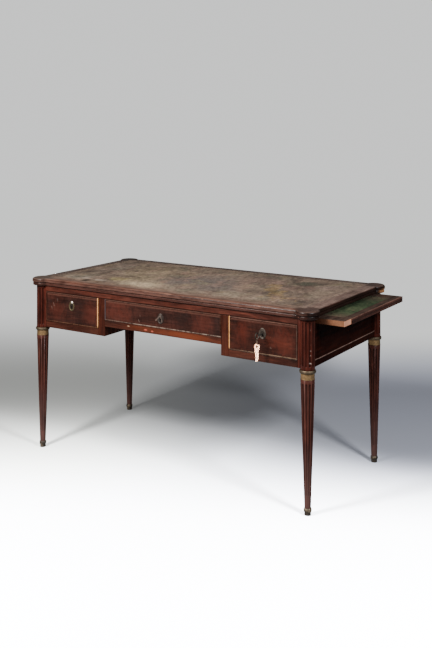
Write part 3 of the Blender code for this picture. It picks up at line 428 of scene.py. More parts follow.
def drawer_mahogany():
    """The drawer fronts: flame figure, a paler band along the top, scratches round the locks."""
    g = begun("mahogany_drawers", "X", 1.7)
    wisps = g.noise(g.mapped((4.5, 1, 2.6), (3, 0, 0)), 8, 7, 0.72, 1.8)
    flame = g.noise(g.mapped((9, 1, 2.2), (1, 0, 5)), 4.5, 6, 0.65, 1.6)
    g.mottle(0.7, flame, (0.30, 0.55), (0.52, 1.0), (0.70, 1.40))
    red, black = (0.066, 0.0150, 0.0096), (0.0085, 0.0046, 0.0040)
    for patches, tint, share in ((RED_PATCHES, red, 0.40), (BLACK_PATCHES, black, 0.45)):
        for patch in patches:
            g.paint(tint, g.on_front(*patch, wisps, 2.4), share)
    x, _, z = g.about_desk()
    g.retint((1.16, 0.96, 0.84), g.remap(x, 0.31, 0.33))
    band = g.remap(z, DRAWER_TOP - 0.0135, DRAWER_TOP - 0.0105)
    g.paint((0.062, 0.0250, 0.0180), band, g.remap(wisps, 0.35, 0.60, 0.45, 0.85))
    lines = g.noise(g.place, 260, 3, 0.6)
    g.scratch((0.110, 0.074, 0.060), KEY_SCRATCHES + DRAWER_SCRATCHES, lines)
    return polish(g, 1.7, 0.08)


# On the centre sill: (x, z, half width, half height), and how strongly it is rubbed or how a chip is tinted
RAIL_RUBS = (
    (0.130, 0.598, 0.190, 0.020, 0.65),
    (0.300, 0.580, 0.050, 0.030, 0.40),
    (-0.080, 0.600, 0.160, 0.016, 0.40),
)
RAIL_CHIPS = (
    (-0.076, 0.5975, 0.012, 0.0045, (0.270, 0.062, 0.042)),
    (-0.042, 0.5950, 0.009, 0.0045, (0.270, 0.062, 0.042)),
    (-0.165, 0.6020, 0.010, 0.0032, (0.220, 0.145, 0.095)),
)


def rail_mahogany():
    """The rails: redder, with rubbed orange along the centre sill and fresh chips in it."""
    g = begun("mahogany_rails", "X", 4.2)
    streaks = g.noise(g.mapped((3, 1, 20), (1, 0, 0)), 6, 5, 0.7, 0.6)
    for *patch, share in RAIL_RUBS:
        g.paint((0.105, 0.0235, 0.0086), g.on_front(*patch, streaks, 1.0), share)
    ragged = g.noise(g.place, 300, 2, 0.5)
    for *patch, tint in RAIL_CHIPS:
        g.paint(tint, g.on_front(*patch, ragged, 0.6))
    z = g.axes()[2]
    g.retint((1.42, 1.38, 1.50), g.remap(z, RAIL_FOOT - 0.010, RAIL_FOOT - 0.005))
    # Dark lines along the top rail: a dark joint over the drawers' gap, and painted shade just under the
    # top's overhang
    for line, share in ((RAIL_FOOT + 0.0008, 0.85), (TOP_FOOT - 0.0010, 0.6)):
        grime = g.remap(g.apart(z, line), 0.0032, 0.0016)
        g.paint((0.0060, 0.0018, 0.0012), grime, share)
    return polish(g, 4.2, 0.08)


# Pale spots painted down the near post as highlights, where light catches dents in its flutes: (height,
# half width, half height, strength)
POST_HIGHLIGHTS = (
    (0.6880, 0.0036, 0.0060, 0.55),
    (0.6620, 0.0030, 0.0040, 0.30),
    (0.6350, 0.0032, 0.0030, 0.60),
    (0.6120, 0.0040, 0.0044, 1.00),
    (0.5950, 0.0040, 0.0040, 0.95),
    (0.5660, 0.0060, 0.0046, 0.85),
)


def leg_mahogany():
    """The legs: grain upwards, darker in the flutes (grime and painted shade) and lighter on the ridges
    (rubbed, and a painted highlight), a dusty foot, and pale painted highlights down the near post.
    """
    g = begun("mahogany_legs", "Z", 6.1)
    x, y, z = g.about_desk()
    # Painted shade: the left legs a little darker than the right ones, to even out the stronger light of
    # the left lamp
    g.mottle(1.0, g.remap(x, -0.2, 0.2), (0.0, 0.86), (1.0, 1.0))
    taper = (LEG_TOP_RADIUS - LEG_FOOT_RADIUS) / (BAND_BOTTOM - SABOT_HEIGHT)
    surface = g.math("MULTIPLY_ADD", z, taper, LEG_FOOT_RADIUS - SABOT_HEIGHT * taper)
    post = g.remap(z, BAND_TOP, COLLAR_TOP, 0.0, POST_RADIUS)
    surface = g.math("MAXIMUM", g.math("MINIMUM", surface, POST_RADIUS), post)
    # Painted light: the ridges take a lighter copy of the wood, partly rubbed and partly a painted
    # highlight, and the flutes a darker one, partly grime and partly painted shade
    sunk = g.remap(g.math("DIVIDE", g.from_leg(x, y), surface), 0.985, 0.900)
    rubbed = g.tinted(g.colour, (1.34, 1.30, 1.30))
    g.colour = g.mix(sunk, rubbed, g.tinted(g.colour, (0.66, 0.61, 0.60)))
    g.retint((1.05, 0.72, 0.62), g.remap(z, BAND_TOP, COLLAR_TOP))
    g.paint((0.082, 0.046, 0.042), g.remap(z, 0.34, 0.05, 0.0, 0.55))
    ragged = g.noise(g.place, 340, 2, 0.5)
    # Painted highlights: pale spots down the near post
    for height, wide, tall, share in POST_HIGHLIGHTS:
        chip = g.blob(at(AXIS_X + 0.0200, -AXIS_Y - 0.0178, height), (wide, wide, tall), ragged, 0.9)
        g.paint((0.56, 0.43, 0.38), chip, share)
    return polish(g, 6.1, 0.10, 0.36, 0.07)


def upright_mahogany():
    """The dividers between the drawers: plain mahogany, upright."""
    g = begun("mahogany_uprights", "Z", 3.3)
    return polish(g, 3.3)


def shaded_end_mahogany():
    """The end panels: deep red-brown, painted darker than the other mahogany as painted shade under the
    slides, with a paler crest painted on the lower bead as a highlight.
    """
    g = begun("mahogany_ends_shaded", "Y", 8.9)
    spots = g.noise(g.mapped((1, 0.3, 1)), 60, 5, 0.65)
    # A painted highlight: a paler line along the lower bead's crest
    crest = g.remap(g.apart(g.axes()[2], END_BEAD_Z), 0.0022, 0.0008)
    g.paint((0.170, 0.105, 0.085), crest, g.remap(spots, 0.32, 0.55, 0.25, 0.95))
    return polish(g, 8.9, 0.0, 0.42, 0.02)


def back_mahogany():
    """The back panel: plainer mahogany, with paler crests painted on its beads as highlights."""
    g = begun("mahogany_back", "X", 5.4)
    spots = g.noise(g.mapped((0.3, 1, 0.3)), 60, 5, 0.65)
    # A painted highlight: paler lines along the beads' crests
    crest = g.remap(g.axes()[1], DESK_Y - FACE_Y + 0.0010, DESK_Y - FACE_Y + 0.0022)
    g.paint((0.110, 0.062, 0.046), crest, g.remap(spots, 0.32, 0.55, 0.35, 0.95))
    return polish(g, 5.4, 0.05)


def top_mahogany():
    """The top's frame: four mitred lengths, rubbed red at the front and grey with dust at the back."""
    g = Graph("mahogany_top")
    x, y, z = g.about_desk()
    from_end, from_side = g.inside(x, y)
    off_mitre = g.math("SUBTRACT", from_side, from_end)
    across = g.remap(off_mitre, -0.0002, 0.0002)
    long_wood, long_pores = figured(g, "X", PLAIN, 11.3)
    end_wood, end_pores = figured(g, "Y", PLAIN, 15.1)
    g.colour = g.mix(across, long_wood, end_wood)
    mitre = g.remap(g.math("ABSOLUTE", off_mitre), 0.0011, 0.0003)
    g.paint((0.006, 0.003, 0.002), mitre, 0.7)
    # The front: its upper side; its nose and quirk, with the nose's lower half painted lighter than the
    # bead below as a painted highlight; and the rubbed length beside the skin
    streaks = g.noise(g.mapped((5, 22, 22), (2, 0, 0)), 3, 6, 0.7, 0.5)
    upper = g.remap(z, HEIGHT - 0.006, HEIGHT - 0.001)
    front = g.times(upper, g.remap(y, -0.2, -0.31))
    g.paint((0.114, 0.058, 0.042), front, g.remap(streaks, 0.30, 0.62, 0.35, 0.9))
    face = g.times(g.remap(z, HEIGHT - 0.005, HEIGHT - 0.009), g.remap(y, -0.30, -0.33))
    nose = g.remap(z, HEIGHT - NOSE_HEIGHT - 0.001, HEIGHT - NOSE_HEIGHT + 0.001)
    nose_highlight_tint = g.mix(nose, (0.050, 0.0205, 0.0158), (0.085, 0.0415, 0.0315))
    g.paint(nose_highlight_tint, face, g.remap(streaks, 0.30, 0.62, 0.35, 0.85))
    inner_front = g.times(front, g.remap(from_side, 0.012, 0.034))
    g.paint((0.134, 0.090, 0.068), inner_front, g.remap(streaks, 0.25, 0.55, 0.45, 0.9))
    # Dust at the back and at both ends, and painted shade down the right end's face
    dusty = g.noise(g.place, 16, 6, 0.7, 0.3)
    far = g.times(upper, g.math("MAXIMUM", g.remap(y, 0.1, 0.3), g.remap(x, -0.55, -0.65)))
    g.paint((0.100, 0.078, 0.066), far, g.remap(dusty, 0.3, 0.7, 0.3, 0.85))
    right = g.times(upper, g.remap(x, 0.60, 0.66))
    g.paint((0.128, 0.084, 0.068), right, g.remap(dusty, 0.3, 0.6, 0.45, 0.92))
    shaded_right_face = g.times(g.remap(z, HEIGHT - 0.003, HEIGHT - 0.008), g.remap(x, 0.674, 0.684))
    g.paint((0.0110, 0.0050, 0.0041), shaded_right_face, 0.85)
    # Dark ears, the seam beside the skin, raw wood at the back right corner and two chips
    ragged = g.noise(g.place, 140, 4, 0.6)
    edge = g.math("MULTIPLY_ADD", ragged, 0.030, -0.015)
    by_ear = g.remap(g.math("ADD", g.from_leg(x, y), edge), 0.066, 0.036, 0.0, 0.95)
    ear_tint = g.mix(g.remap(x, -0.2, 0.2), (0.56, 0.60, 0.60), (0.32, 0.29, 0.29))
    g.retint(ear_tint, by_ear)
    inner = g.math("MINIMUM", from_end, from_side)
    seam = g.times(upper, g.remap(inner, BORDER - 0.008, BORDER - 0.001))
    g.paint((0.070, 0.048, 0.037), seam, 0.25)
    corner = at(AXIS_X + 0.036, AXIS_Y + 0.006, TOP_FOOT + 0.009)
    g.paint((0.300, 0.135, 0.058), g.blob(corner, (0.028, 0.044, 0.018), ragged, 0.5))
    for chip_x, wide in ((0.21, 0.008), (0.47, 0.010)):
        chip = g.blob(at(chip_x, -AXIS_Y - EDGE_OUT, HEIGHT - 0.004), (wide, 0.005, 0.004), ragged, 0.6)
        g.paint((0.22, 0.105, 0.064), chip, 0.5)
    # The figure again, over all the wear
    long_figure = g.noise(g.mapped(GRAIN["X"], (4, 0, 0)), 13, 5, 0.62, 0.5)
    end_figure = g.noise(g.mapped(GRAIN["Y"], (0, 4, 0)), 13, 5, 0.62, 0.5)
    figure = g.mix(across, long_figure, end_figure)
    g.mottle(0.8, figure, (0.32, 0.50), (0.50, 1.0), (0.68, 1.45))
    g.pores = g.mix(across, long_pores, end_pores)
    g.mottle(0.5, g.pores, (0.30, 0.50), (0.55, 1.08))
    return polish(g, 11.3, 0.10, 0.34, 0.12)


def slide_wood():
    """A slide's board: polished mahogany above, raw wood at its sides, palest at the broken corner."""
    g = begun("slide_board", "Y", 8.9)
    x, y, z = g.about_desk()
    tan = g.noise(g.mapped((9, 1, 9)), 5, 6, 0.65, 0.4)
    outer = g.remap(g.math("ABSOLUTE", x), 0.690, 0.785)
    raw = g.mix(outer, (0.050, 0.0175, 0.0085), (0.170, 0.072, 0.036))
    raw = g.mottled(raw, 0.7, tan, (0.30, 0.45), (0.66, 1.2))
    raw = g.mottled(raw, 0.4, g.pores, (0.30, 0.5), (0.62, 1.0))
    broken = g.times(g.remap(x, 0.7950, 0.7960), g.remap(y, -0.215, -0.225))
    raw = g.over(raw, g.mix(tan, (0.340, 0.145, 0.085), (0.560, 0.270, 0.170)), broken)
    g.paint(raw, g.remap(z, SLIDE_TOP - 0.0012, SLIDE_TOP - 0.0024))
    return polish(g, 8.9, 0.06, 0.45)


def strip_mahogany():
    """A slide's outer strip, with a paler upper edge painted as a highlight and a dark line between its
    mouldings.
    """
    g = begun("mahogany_strips", "Y", 2.2)
    z = g.axes()[2]
    spots = g.noise(g.mapped((1, 0.3, 1)), 60, 5, 0.65)
    # A painted highlight along the upper edge
    edge = g.remap(z, SLIDE_TOP - 0.0030, SLIDE_TOP - 0.0012)
    g.paint((0.165, 0.085, 0.062), edge, g.remap(spots, 0.30, 0.55, 0.1, 0.5))
    # Darker along a line between the mouldings
    grime = g.remap(g.apart(z, SLIDE_TOP - 0.0110), 0.0040, 0.0015, 0.0, 0.7)
    g.paint((0.0100, 0.0040, 0.0030), grime)
    return polish(g, 2.2)


def oak(name, axis):
    """Raw drawer linings and hidden wood, dry and dusty."""
    g = Graph(name)
    broad = g.noise(g.mapped(GRAIN[axis]), 3.5, 5, 0.6, 0.4)
    g.colour = g.ramp(broad, ((0.3, (0.16, 0.095, 0.05)), (0.7, (0.30, 0.195, 0.105))))
    pores = g.noise(g.mapped(PORES[axis]), 1.2, 3, 0.6)
    g.mottle(0.45, pores, (0.3, 0.5), (0.65, 1.0))
    dirt = g.noise(g.place, 9, 5, 0.6)
    g.mottle(0.35, dirt, (0.3, 0.5), (0.6, 1.0))
    return g.finish(0.7, normal=g.bump(pores, 0.2, 0.0006), specular=0.3)


def metal(name, bright, dull, share, rough, metallic=1.0):
    """Old metal, bright where rubbed and dull elsewhere; share is how much of it is bright."""
    g = Graph(name)
    spots = g.noise(g.place, 60, 6, 0.65)
    worn = g.remap(spots, 0.72 - share * 0.5, 0.86 - share * 0.5)
    fine = g.noise(g.place, 420, 3, 0.6)
    gloss = g.remap(worn, 0, 1, rough + 0.2, rough - 0.05)
    g.colour = g.mix(worn, dull, bright)
    return g.finish(gloss, metallic, g.bump(fine, 0.15, 0.0003))


def collar_brass():
    """The collars: dark green-brown on the rim, dull gold on the band, grime in the corners."""
    g = Graph("collar_brass")
    z = g.axes()[2]
    spots = g.noise(g.place, 75, 6, 0.7)
    gold = g.mix(g.remap(spots, 0.35, 0.70), (0.130, 0.079, 0.036), (0.300, 0.188, 0.090))
    rim = g.mix(g.remap(spots, 0.40, 0.75), (0.058, 0.043, 0.028), (0.150, 0.106, 0.064))
    g.colour = g.mix(g.remap(z, BAND_TOP - 0.001, BAND_TOP + 0.0015), gold, rim)
    foot = g.remap(z, BAND_BOTTOM + 0.003, BAND_BOTTOM + 0.0005)
    grime = g.math("MAXIMUM", foot, g.blob((0, 0, BAND_TOP), (9, 9, 0.0016)))
    g.paint((0.030, 0.022, 0.014), grime, 0.7)
    fine = g.noise(g.place, 420, 3, 0.6)
    return g.finish(g.remap(spots, 0.3, 0.7, 0.64, 0.44), 0.85, g.bump(fine, 0.15, 0.0003))


def bead_brass(drawer, bright_side, foot_tint, foot_share, top_share):
    """A drawer's bead, dark with old polish, with paler lengths painted on it as highlights: along its top,
    along its lower length (rubbed there too), and up one side or both.
    """
    g = Graph(f"bead_{drawer}")
    low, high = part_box(f"drawer_{drawer}_bead")
    x, _, z = g.axes()
    spots = g.noise(g.mapped(move=(low.x, 0, 0)), 55, 6, 0.7)
    g.colour = g.mix(g.remap(spots, 0.35, 0.75), (0.012, 0.0040, 0.0026), (0.042, 0.0145, 0.0080))
    # A painted highlight along the top length, where light from above falls on the bead
    top = g.remap(z, high.z - 0.0052, high.z - 0.0038)
    g.paint((0.075, 0.034, 0.024), top, g.remap(spots, 0.30, 0.60, 0.2, top_share))
    # The lower length paler: partly rubbed, partly a painted highlight
    foot = g.remap(z, low.z + 0.0052, low.z + 0.0038)
    along = g.remap(x, low.x + 0.02, low.x + 0.40 * (high.x - low.x), 0.25, 1.0)
    g.paint(foot_tint, foot, along, g.remap(spots, 0.36, 0.60, 0.1, foot_share))
    # The sides: painted reflections, gilded on one side of the left and right beads, bluish-grey on the
    # centre's left, browner on the right drawer's right
    near = g.remap(g.apart(x, low.x if bright_side <= 0 else high.x), 0.0046, 0.0032)
    if bright_side:
        upwards = g.remap(z, low.z, low.z + 0.012)
        glint = g.remap(spots, 0.30, 0.50, 0.55, 1.0)
        g.paint((0.50, 0.240, 0.090), near, upwards, glint)
    else:
        g.paint((0.052, 0.044, 0.050), near, 0.75)
    if bright_side < 0:
        far = g.remap(g.math("SUBTRACT", high.x, x), 0.0050, 0.0036, 0.0, 0.7)
        g.paint((0.052, 0.032, 0.025), far, g.remap(spots, 0.30, 0.60, 0.3, 1.0))
    return g.finish(0.55, normal=g.bump(spots, 0.12, 0.0004), specular=0.08)


def plate_brass(drawer, rim, field, knob, knob_x=0.0, scratches=()):
    """A lock's plate: a rubbed rim round a dark field, with its crest knob."""
    g = Graph(f"plate_{drawer}")
    centre = at(LOCKS_X[drawer], FACE_Y, KEY_Z)
    spots = g.noise(g.place, 160, 5, 0.7)
    ring = g.remap(g.away(centre, (PLATE_HALF[0], 1, PLATE_HALF[1])), 0.52, 0.68)
    g.colour = g.over(field, rim, ring, g.remap(spots, 0.34, 0.62, 0.15, 1.0))
    # The crest knob's tint, which on the left plate is a painted highlight
    crest = g.blob(centre + Vector((knob_x, 0, 0.0190)), (0.0066, 1, 0.0078))
    g.paint(knob, crest)
    g.scratch((0.105, 0.076, 0.064), scratches, spots, LOCKS_X[drawer])
    gloss = g.remap(spots, 0.3, 0.7, 0.58, 0.40)
    return g.finish(gloss, 0.5, g.bump(spots, 0.15, 0.0004), specular=0.3)


# The writing skin, from its darkest patches to its palest
SKIN_TONES = (
    (0.28, (0.060, 0.043, 0.034)),
    (0.44, (0.098, 0.070, 0.053)),
    (0.57, (0.140, 0.101, 0.074)),
    (0.74, (0.196, 0.144, 0.102)),
)
# Wear on it: (x, y, half width, half depth), and of the large patches (tint, strength) too
SKIN_PATCHES = (
    (-0.34, 0.12, 0.19, 0.17, (0.182, 0.138, 0.086), 0.60),
    (-0.27, -0.10, 0.18, 0.16, (0.190, 0.144, 0.090), 0.60),
    (-0.15, -0.22, 0.13, 0.09, (0.310, 0.240, 0.155), 0.80),
    (-0.08, -0.06, 0.15, 0.15, (0.070, 0.058, 0.055), 0.70),
    (0.02, 0.06, 0.17, 0.14, (0.076, 0.062, 0.058), 0.65),
    (0.14, -0.10, 0.16, 0.13, (0.072, 0.058, 0.055), 0.70),
    (0.24, 0.11, 0.20, 0.14, (0.150, 0.096, 0.076), 0.60),
    (-0.15, 0.10, 0.09, 0.07, (0.116, 0.080, 0.055), 0.60),
    (-0.34, -0.17, 0.06, 0.05, (0.200, 0.158, 0.062), 0.60),
    (0.53, 0.13, 0.07, 0.10, (0.215, 0.150, 0.122), 0.50),
    (0.44, 0.08, 0.12, 0.12, (0.090, 0.058, 0.046), 0.60),
    (0.40, 0.17, 0.13, 0.08, (0.046, 0.046, 0.032), 0.80),
    (0.32, -0.21, 0.20, 0.09, (0.225, 0.172, 0.122), 0.60),
    (-0.52, -0.22, 0.12, 0.07, (0.190, 0.155, 0.124), 0.55),
    (-0.55, 0.10, 0.10, 0.20, (0.112, 0.090, 0.074), 0.50),
)
SKIN_SCUFFS = ((-0.400, -0.235, 0.050, 0.024), (-0.485, -0.225, 0.030, 0.020))
SKIN_MARKS = ((-0.447, -0.272, 0.028, 0.042), (-0.520, 0.020, 0.010, 0.012))
# The turn of the skin's own grain
SLANT = (0, 0, 0.5)


def top_leather():
    """The writing skin: rubbed and stained, pale where arms lay, grey in the middle, red-brown in front."""
    g = Graph("writing_leather")
    x, y, _ = g.about_desk()
    g.colour = g.ramp(g.noise(g.place, 7.5, 5, 0.64, 0.6), SKIN_TONES)
    cloud = g.noise(g.mapped(move=(4, 2, 0)), 14, 5, 0.66, 0.4)
    for *patch, tint, share in SKIN_PATCHES:
        g.paint(tint, g.on_top(*patch, cloud, 2.0), share)
    ochre = g.stroke(at(0.33, 0.02, HEIGHT), at(0.47, -0.16, HEIGHT), 0.045, cloud, 5.0)
    g.paint((0.235, 0.150, 0.060), ochre, 0.55)
    hue = g.noise(g.mapped((1.4, 0.8, 1), (9, 5, 0), SLANT), 9, 7, 0.68, 0.5)
    g.paint((0.205, 0.124, 0.094), g.remap(hue, 0.50, 0.66, 0.0, 0.50))
    g.paint((0.082, 0.082, 0.055), g.remap(hue, 0.48, 0.34, 0.0, 0.42))
    gold = g.noise(g.mapped((1.4, 0.8, 1), (2, 7, 0), SLANT), 12, 7, 0.68, 0.5)
    g.paint((0.195, 0.142, 0.070), g.remap(gold, 0.54, 0.70, 0.0, 0.38))
    front = g.remap(g.math("ADD", y, AXIS_Y + EDGE_OUT - BORDER), 0.060, 0.000)
    g.paint((0.110, 0.064, 0.047), front, g.remap(cloud, 0.34, 0.58, 0.20, 0.80))
    right = g.remap(g.math("SUBTRACT", AXIS_X + EDGE_OUT - BORDER, x), 0.070, 0.005)
    g.paint((0.118, 0.078, 0.063), right, g.remap(cloud, 0.34, 0.58, 0.25, 0.85))
    sides = g.remap(g.apart(x, 0.03), 0.10, 0.28)
    stains = g.noise(g.mapped((1.3, 0.8, 1), (5, 1, 0), SLANT), 11, 5, 0.62, 0.5)
    stains = g.ramp(stains, ((0.34, 0.55), (0.50, 0.92), (0.66, 1.20)))
    g.retint(stains, sides, 0.9)
    g.retint((0.87, 0.87, 0.87), g.remap(x, 0.05, 0.30))
    crackle = g.noise(g.mapped((1.3, 0.8, 1), turn=SLANT), 46, 7, 0.72, 0.1)
    g.mottle(0.95, crackle, (0.30, 0.40), (0.50, 0.95), (0.70, 1.45))
    specks = g.noise(g.mapped((1, 0.8, 1), (7, 0, 0)), 105, 4, 0.6)
    g.mottle(0.6, specks, (0.30, 0.25), (0.46, 1.0))
    rubs = g.noise(g.mapped((1, 0.7, 1), (0, 9, 0)), 70, 6, 0.68)
    g.paint((0.300, 0.232, 0.172), g.remap(rubs, 0.56, 0.72, 0.0, 0.42))
    for patch in SKIN_SCUFFS:
        g.paint((0.290, 0.232, 0.188), g.on_top(*patch, rubs, 2.6), 0.5)
    mark_edge = g.noise(g.place, 180, 3, 0.6)
    for patch in SKIN_MARKS:
        g.paint((0.012, 0.009, 0.008), g.on_top(*patch, mark_edge, 0.6))
    edge = g.math("MINIMUM", *g.inside(x, y, BORDER))
    g.paint((0.050, 0.033, 0.026), g.remap(edge, 0.004, 0.0005, 0.0, 0.35))
    line = g.remap(g.apart(edge, 0.0185), 0.0018, 0.0006)
    g.paint((0.260, 0.170, 0.070), line, g.remap(cloud, 0.45, 0.62, 0.0, 0.5))
    grain = g.noise(g.place, 900, 2, 0.5)
    height = g.math("ADD", grain, g.times(crackle, 2.0))
    gloss = g.remap(crackle, 0.3, 0.7, 0.70, 0.50)
    return g.finish(gloss, normal=g.bump(height, 0.3, 0.0006), specular=0.22)


def slide_leather():
    """The slides' skins: less rubbed, still green in the middle, brown and dusty at the ends."""
    g = Graph("slide_leather")
    green = ((0.32, (0.009, 0.014, 0.007)), (0.52, (0.023, 0.033, 0.015)), (0.70, (0.056, 0.062, 0.032)))
    g.colour = g.ramp(g.noise(g.place, 12, 6, 0.68, 0.6), green)
    y = g.about_desk()[1]
    worn = g.noise(g.mapped(move=(3, 3, 0)), 24, 7, 0.72, 0.6)
    ends = g.math("MAXIMUM", g.remap(y, 0.08, 0.24, 0.0, 0.85), g.remap(y, -0.12, -0.24, 0.0, 0.9))
    g.paint((0.050, 0.031, 0.022), ends, g.remap(worn, 0.28, 0.50))
    specks = g.noise(g.place, 85, 7, 0.75)
    g.mottle(0.8, specks, (0.34, 0.30), (0.52, 0.95), (0.68, 1.5))
    rust = g.noise(g.mapped(move=(0, 4, 0)), 60, 5, 0.7)
    g.paint((0.115, 0.062, 0.036), g.remap(rust, 0.60, 0.72, 0.0, 0.7))
    height = g.math("ADD", g.noise(g.place, 900, 2, 0.5), specks)
    return g.finish(0.62, normal=g.bump(height, 0.25, 0.0005), specular=0.16)


def card_paper():
    """The tag: cream card, whiter on its lit half, yellowed at its edges."""
    g = Graph("tag_card")
    fibre = g.noise(g.mapped((1, 1, 0.35)), 700, 4, 0.6)
    stain = g.noise(g.place, 130, 5, 0.6)
    g.colour = g.mix(g.remap(stain, 0.35, 0.70, 0.0, 0.40), (1.0, 0.58, 0.37), (0.97, 0.43, 0.24))
    # Painted shade over one half of the card, so the lit half stays whiter
    shady = g.remap(g.axes()[0], TAG_HOLE.x - 0.0030, TAG_HOLE.x - 0.0085, 0.0, 0.7)
    g.paint((0.94, 0.37, 0.19), shady)
    g.mottle(0.18, fibre, (0.3, 0.6), (0.65, 1.0))
    return g.finish(0.85, normal=g.bump(fibre, 0.15, 0.0003), specular=0.2)


def thread_cotton():
    """The tag's thread: dusty cotton."""
    g = Graph("thread_cotton")
    lay = g.noise(g.mapped((1, 1, 0.4)), 1500, 3, 0.6)
    g.colour = g.ramp(lay, ((0.3, (0.10, 0.075, 0.055)), (0.7, (0.24, 0.185, 0.135))))
    return g.finish(0.9, normal=g.bump(lay, 0.3, 0.0003), specular=0.2)


# The left plate's crest knob is painted pale as a highlight
KNOB_HIGHLIGHT = (0.95, 0.88, 0.78)
MATERIALS = {
    "drawer": drawer_mahogany(),
    "rail": rail_mahogany(),
    "leg": leg_mahogany(),
    "upright": upright_mahogany(),
    "end": shaded_end_mahogany(),
    "back": back_mahogany(),
    "top": top_mahogany(),
    "slide": slide_wood(),
    "strip": strip_mahogany(),
    "oak": oak("oak_linings", "Y"),
    "oak_across": oak("oak_backs", "X"),
    "collar": collar_brass(),
    "sabot": metal("sabot_brass", (0.165, 0.122, 0.080), (0.046, 0.036, 0.029), 0.48, 0.48, 0.7),
    "bead_left": bead_brass("left", 1, (0.085, 0.040, 0.022), 0.5, 0.3),
    "bead_centre": bead_brass("centre", 0, (0.150, 0.110, 0.088), 0.85, 0.35),
    "bead_right": bead_brass("right", -1, (0.135, 0.085, 0.055), 0.75, 0.8),
    "plate_left": plate_brass("left", (0.080, 0.062, 0.030), (0.016, 0.012, 0.008), KNOB_HIGHLIGHT, 0.0030),
    "plate_centre": plate_brass(
        "centre", (0.030, 0.021, 0.018), (0.015, 0.011, 0.009), (0.060, 0.046, 0.040), 0.0, KEY_SCRATCHES
    ),
    "plate_right": plate_brass(
        "right", (0.055, 0.043, 0.034), (0.017, 0.0125, 0.0095), (0.060, 0.047, 0.037)
    ),
    "iron": metal("old_iron", (0.16, 0.14, 0.12), (0.040, 0.035, 0.030), 0.4, 0.45),
    "leather": top_leather(),
    "green": slide_leather(),
    "card": card_paper(),
    "thread": thread_cotton(),
}
# Finishes by the start of a node's name, then by its end
STARTS = {
    "collar": "collar",
    "sabot": "sabot",
    "tag_thread": "thread",
    "tag": "card",
    "leg": "leg",
    "divider": "upright",
    "end_panel": "end",
    "top_frame": "top",
    "drawer": "drawer",
    "back_panel": "back",
    "front_top_rail": "rail",
    "sill_rail": "rail",
}
ENDS = {"_strip": "strip", "_board": "slide"}


def material_of(node):
    """The finish of a CAD node, by its name."""
    drawer = node.split("_")[1] if node.startswith("drawer_") else ""
    if node.endswith("_bead"):
        return f"bead_{drawer}"
    if node.endswith("_escutcheon"):
        return f"plate_{drawer}"
    if node.endswith("_lock") or node in ("key", "lock_bolt"):
        return "iron"
    if node.endswith("_leather"):
        return "leather" if node == "writing_leather" else "green"
    if drawer and not node.endswith("_front"):
        return "oak_across" if node.endswith("_back") else "oak"
    found = [finish for start, finish in STARTS.items() if node.startswith(start)]
    found += [finish for end, finish in ENDS.items() if node.endswith(end)]
    return found[0] if found else "oak"


for name, obj in NODES.items():
    obj.data.materials.clear()
    obj.data.materials.append(MATERIALS[material_of(name)])


def make_thread():
    """The thread from the key's bow, through the tag's hole and back."""
    curve = bpy.data.curves.new("thread", "CURVE")
    curve.dimensions = "3D"
    curve.bevel_depth = THREAD_DIAMETER / 2
    curve.bevel_resolution = 3
    curve.use_fill_caps = True
    spline = curve.splines.new("POLY")
    spline.points.add(len(THREAD_ROUTE) - 1)
    for point, step in zip(spline.points, THREAD_ROUTE):
        point.co = (*(BOW_FOOT + Vector(step)), 1)
    obj = bpy.data.objects.new("thread", curve)
    bpy.context.scene.collection.objects.link(obj)
    curve.materials.append(MATERIALS["thread"])
    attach(obj, "drawer_right")
    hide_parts("tag_thread")
    return obj


def hang(tag):
    """Adds up the length of the thread's route and keeps nothing; the tag is not used."""
    steps = zip(THREAD_ROUTE, THREAD_ROUTE[1:])
    sum((Vector(last) - Vector(first)).length for first, last in steps)


tag_thread = make_thread()

# Modelling by hand: everything is deselected first, then one piece is taken in hand.
# NEAR is how close counts as the same place, and HAIR keeps two rounds from meeting. Large cutters
# go BEYOND the piece and small ones CLEAR of it. The rest is how finely round things are cut
NEAR = 0.00001
HAIR = 0.0001
BEYOND = 0.1
CLEAR = 0.01
LEG_SIDES = 96
FLUTE_SIDES = 20
ROUND_SIDES = 72
BORE_SIDES = 64
SMALL_SIDES = 32


def leave():
    """Back from edit mode."""
    bpy.ops.object.mode_set(mode="OBJECT")


def fresh():
    """Leaves whatever was in hand."""
    if bpy.context.mode != "OBJECT":
        leave()
    bpy.ops.object.select_all(action="DESELECT")


def take(obj):
    """Makes the piece the one in hand."""
    fresh()
    obj.select_set(True)
    bpy.context.view_layer.objects.active = obj


def edit(obj):
    """Takes all of the piece into edit mode."""
    take(obj)
    bpy.ops.object.mode_set(mode="EDIT")
    bpy.ops.mesh.select_all(action="SELECT")


def outwards():
    """Turns all the faces outwards and leaves edit mode."""
    bpy.ops.mesh.select_all(action="SELECT")
    bpy.ops.mesh.normals_make_consistent(inside=False)
    leave()


def pick(obj, kind, test):
    """Selects the edges or faces, in edit mode, that pass the test."""
    edit(obj)
    bpy.ops.mesh.select_mode(type=kind)
    bpy.ops.mesh.select_all(action="DESELECT")
    mesh = bmesh.from_edit_mesh(obj.data)
    for item in mesh.edges if kind == "EDGE" else mesh.faces:
        if test(item):
            item.select_set(True)
    bmesh.update_edit_mesh(obj.data)


def pick_edges(obj, test):
    """Selects the edges whose two ends both pass the test."""
    pick(obj, "EDGE", lambda edge: all(test(point.co) for point in edge.verts))


def fixed(stretch=(1, 1, 1)):
    """The piece in hand, stretched along its own axes, with its place and turn made part of its mesh."""
    bpy.context.object.scale = stretch
    bpy.ops.object.transform_apply(location=True, rotation=True, scale=True)
    return bpy.context.object


def block(low, high):
    """A cube at its size and place."""
    low, high = Vector(low), Vector(high)
    fresh()
    bpy.ops.mesh.primitive_cube_add(size=1, location=(low + high) / 2)
    return fixed(high - low)


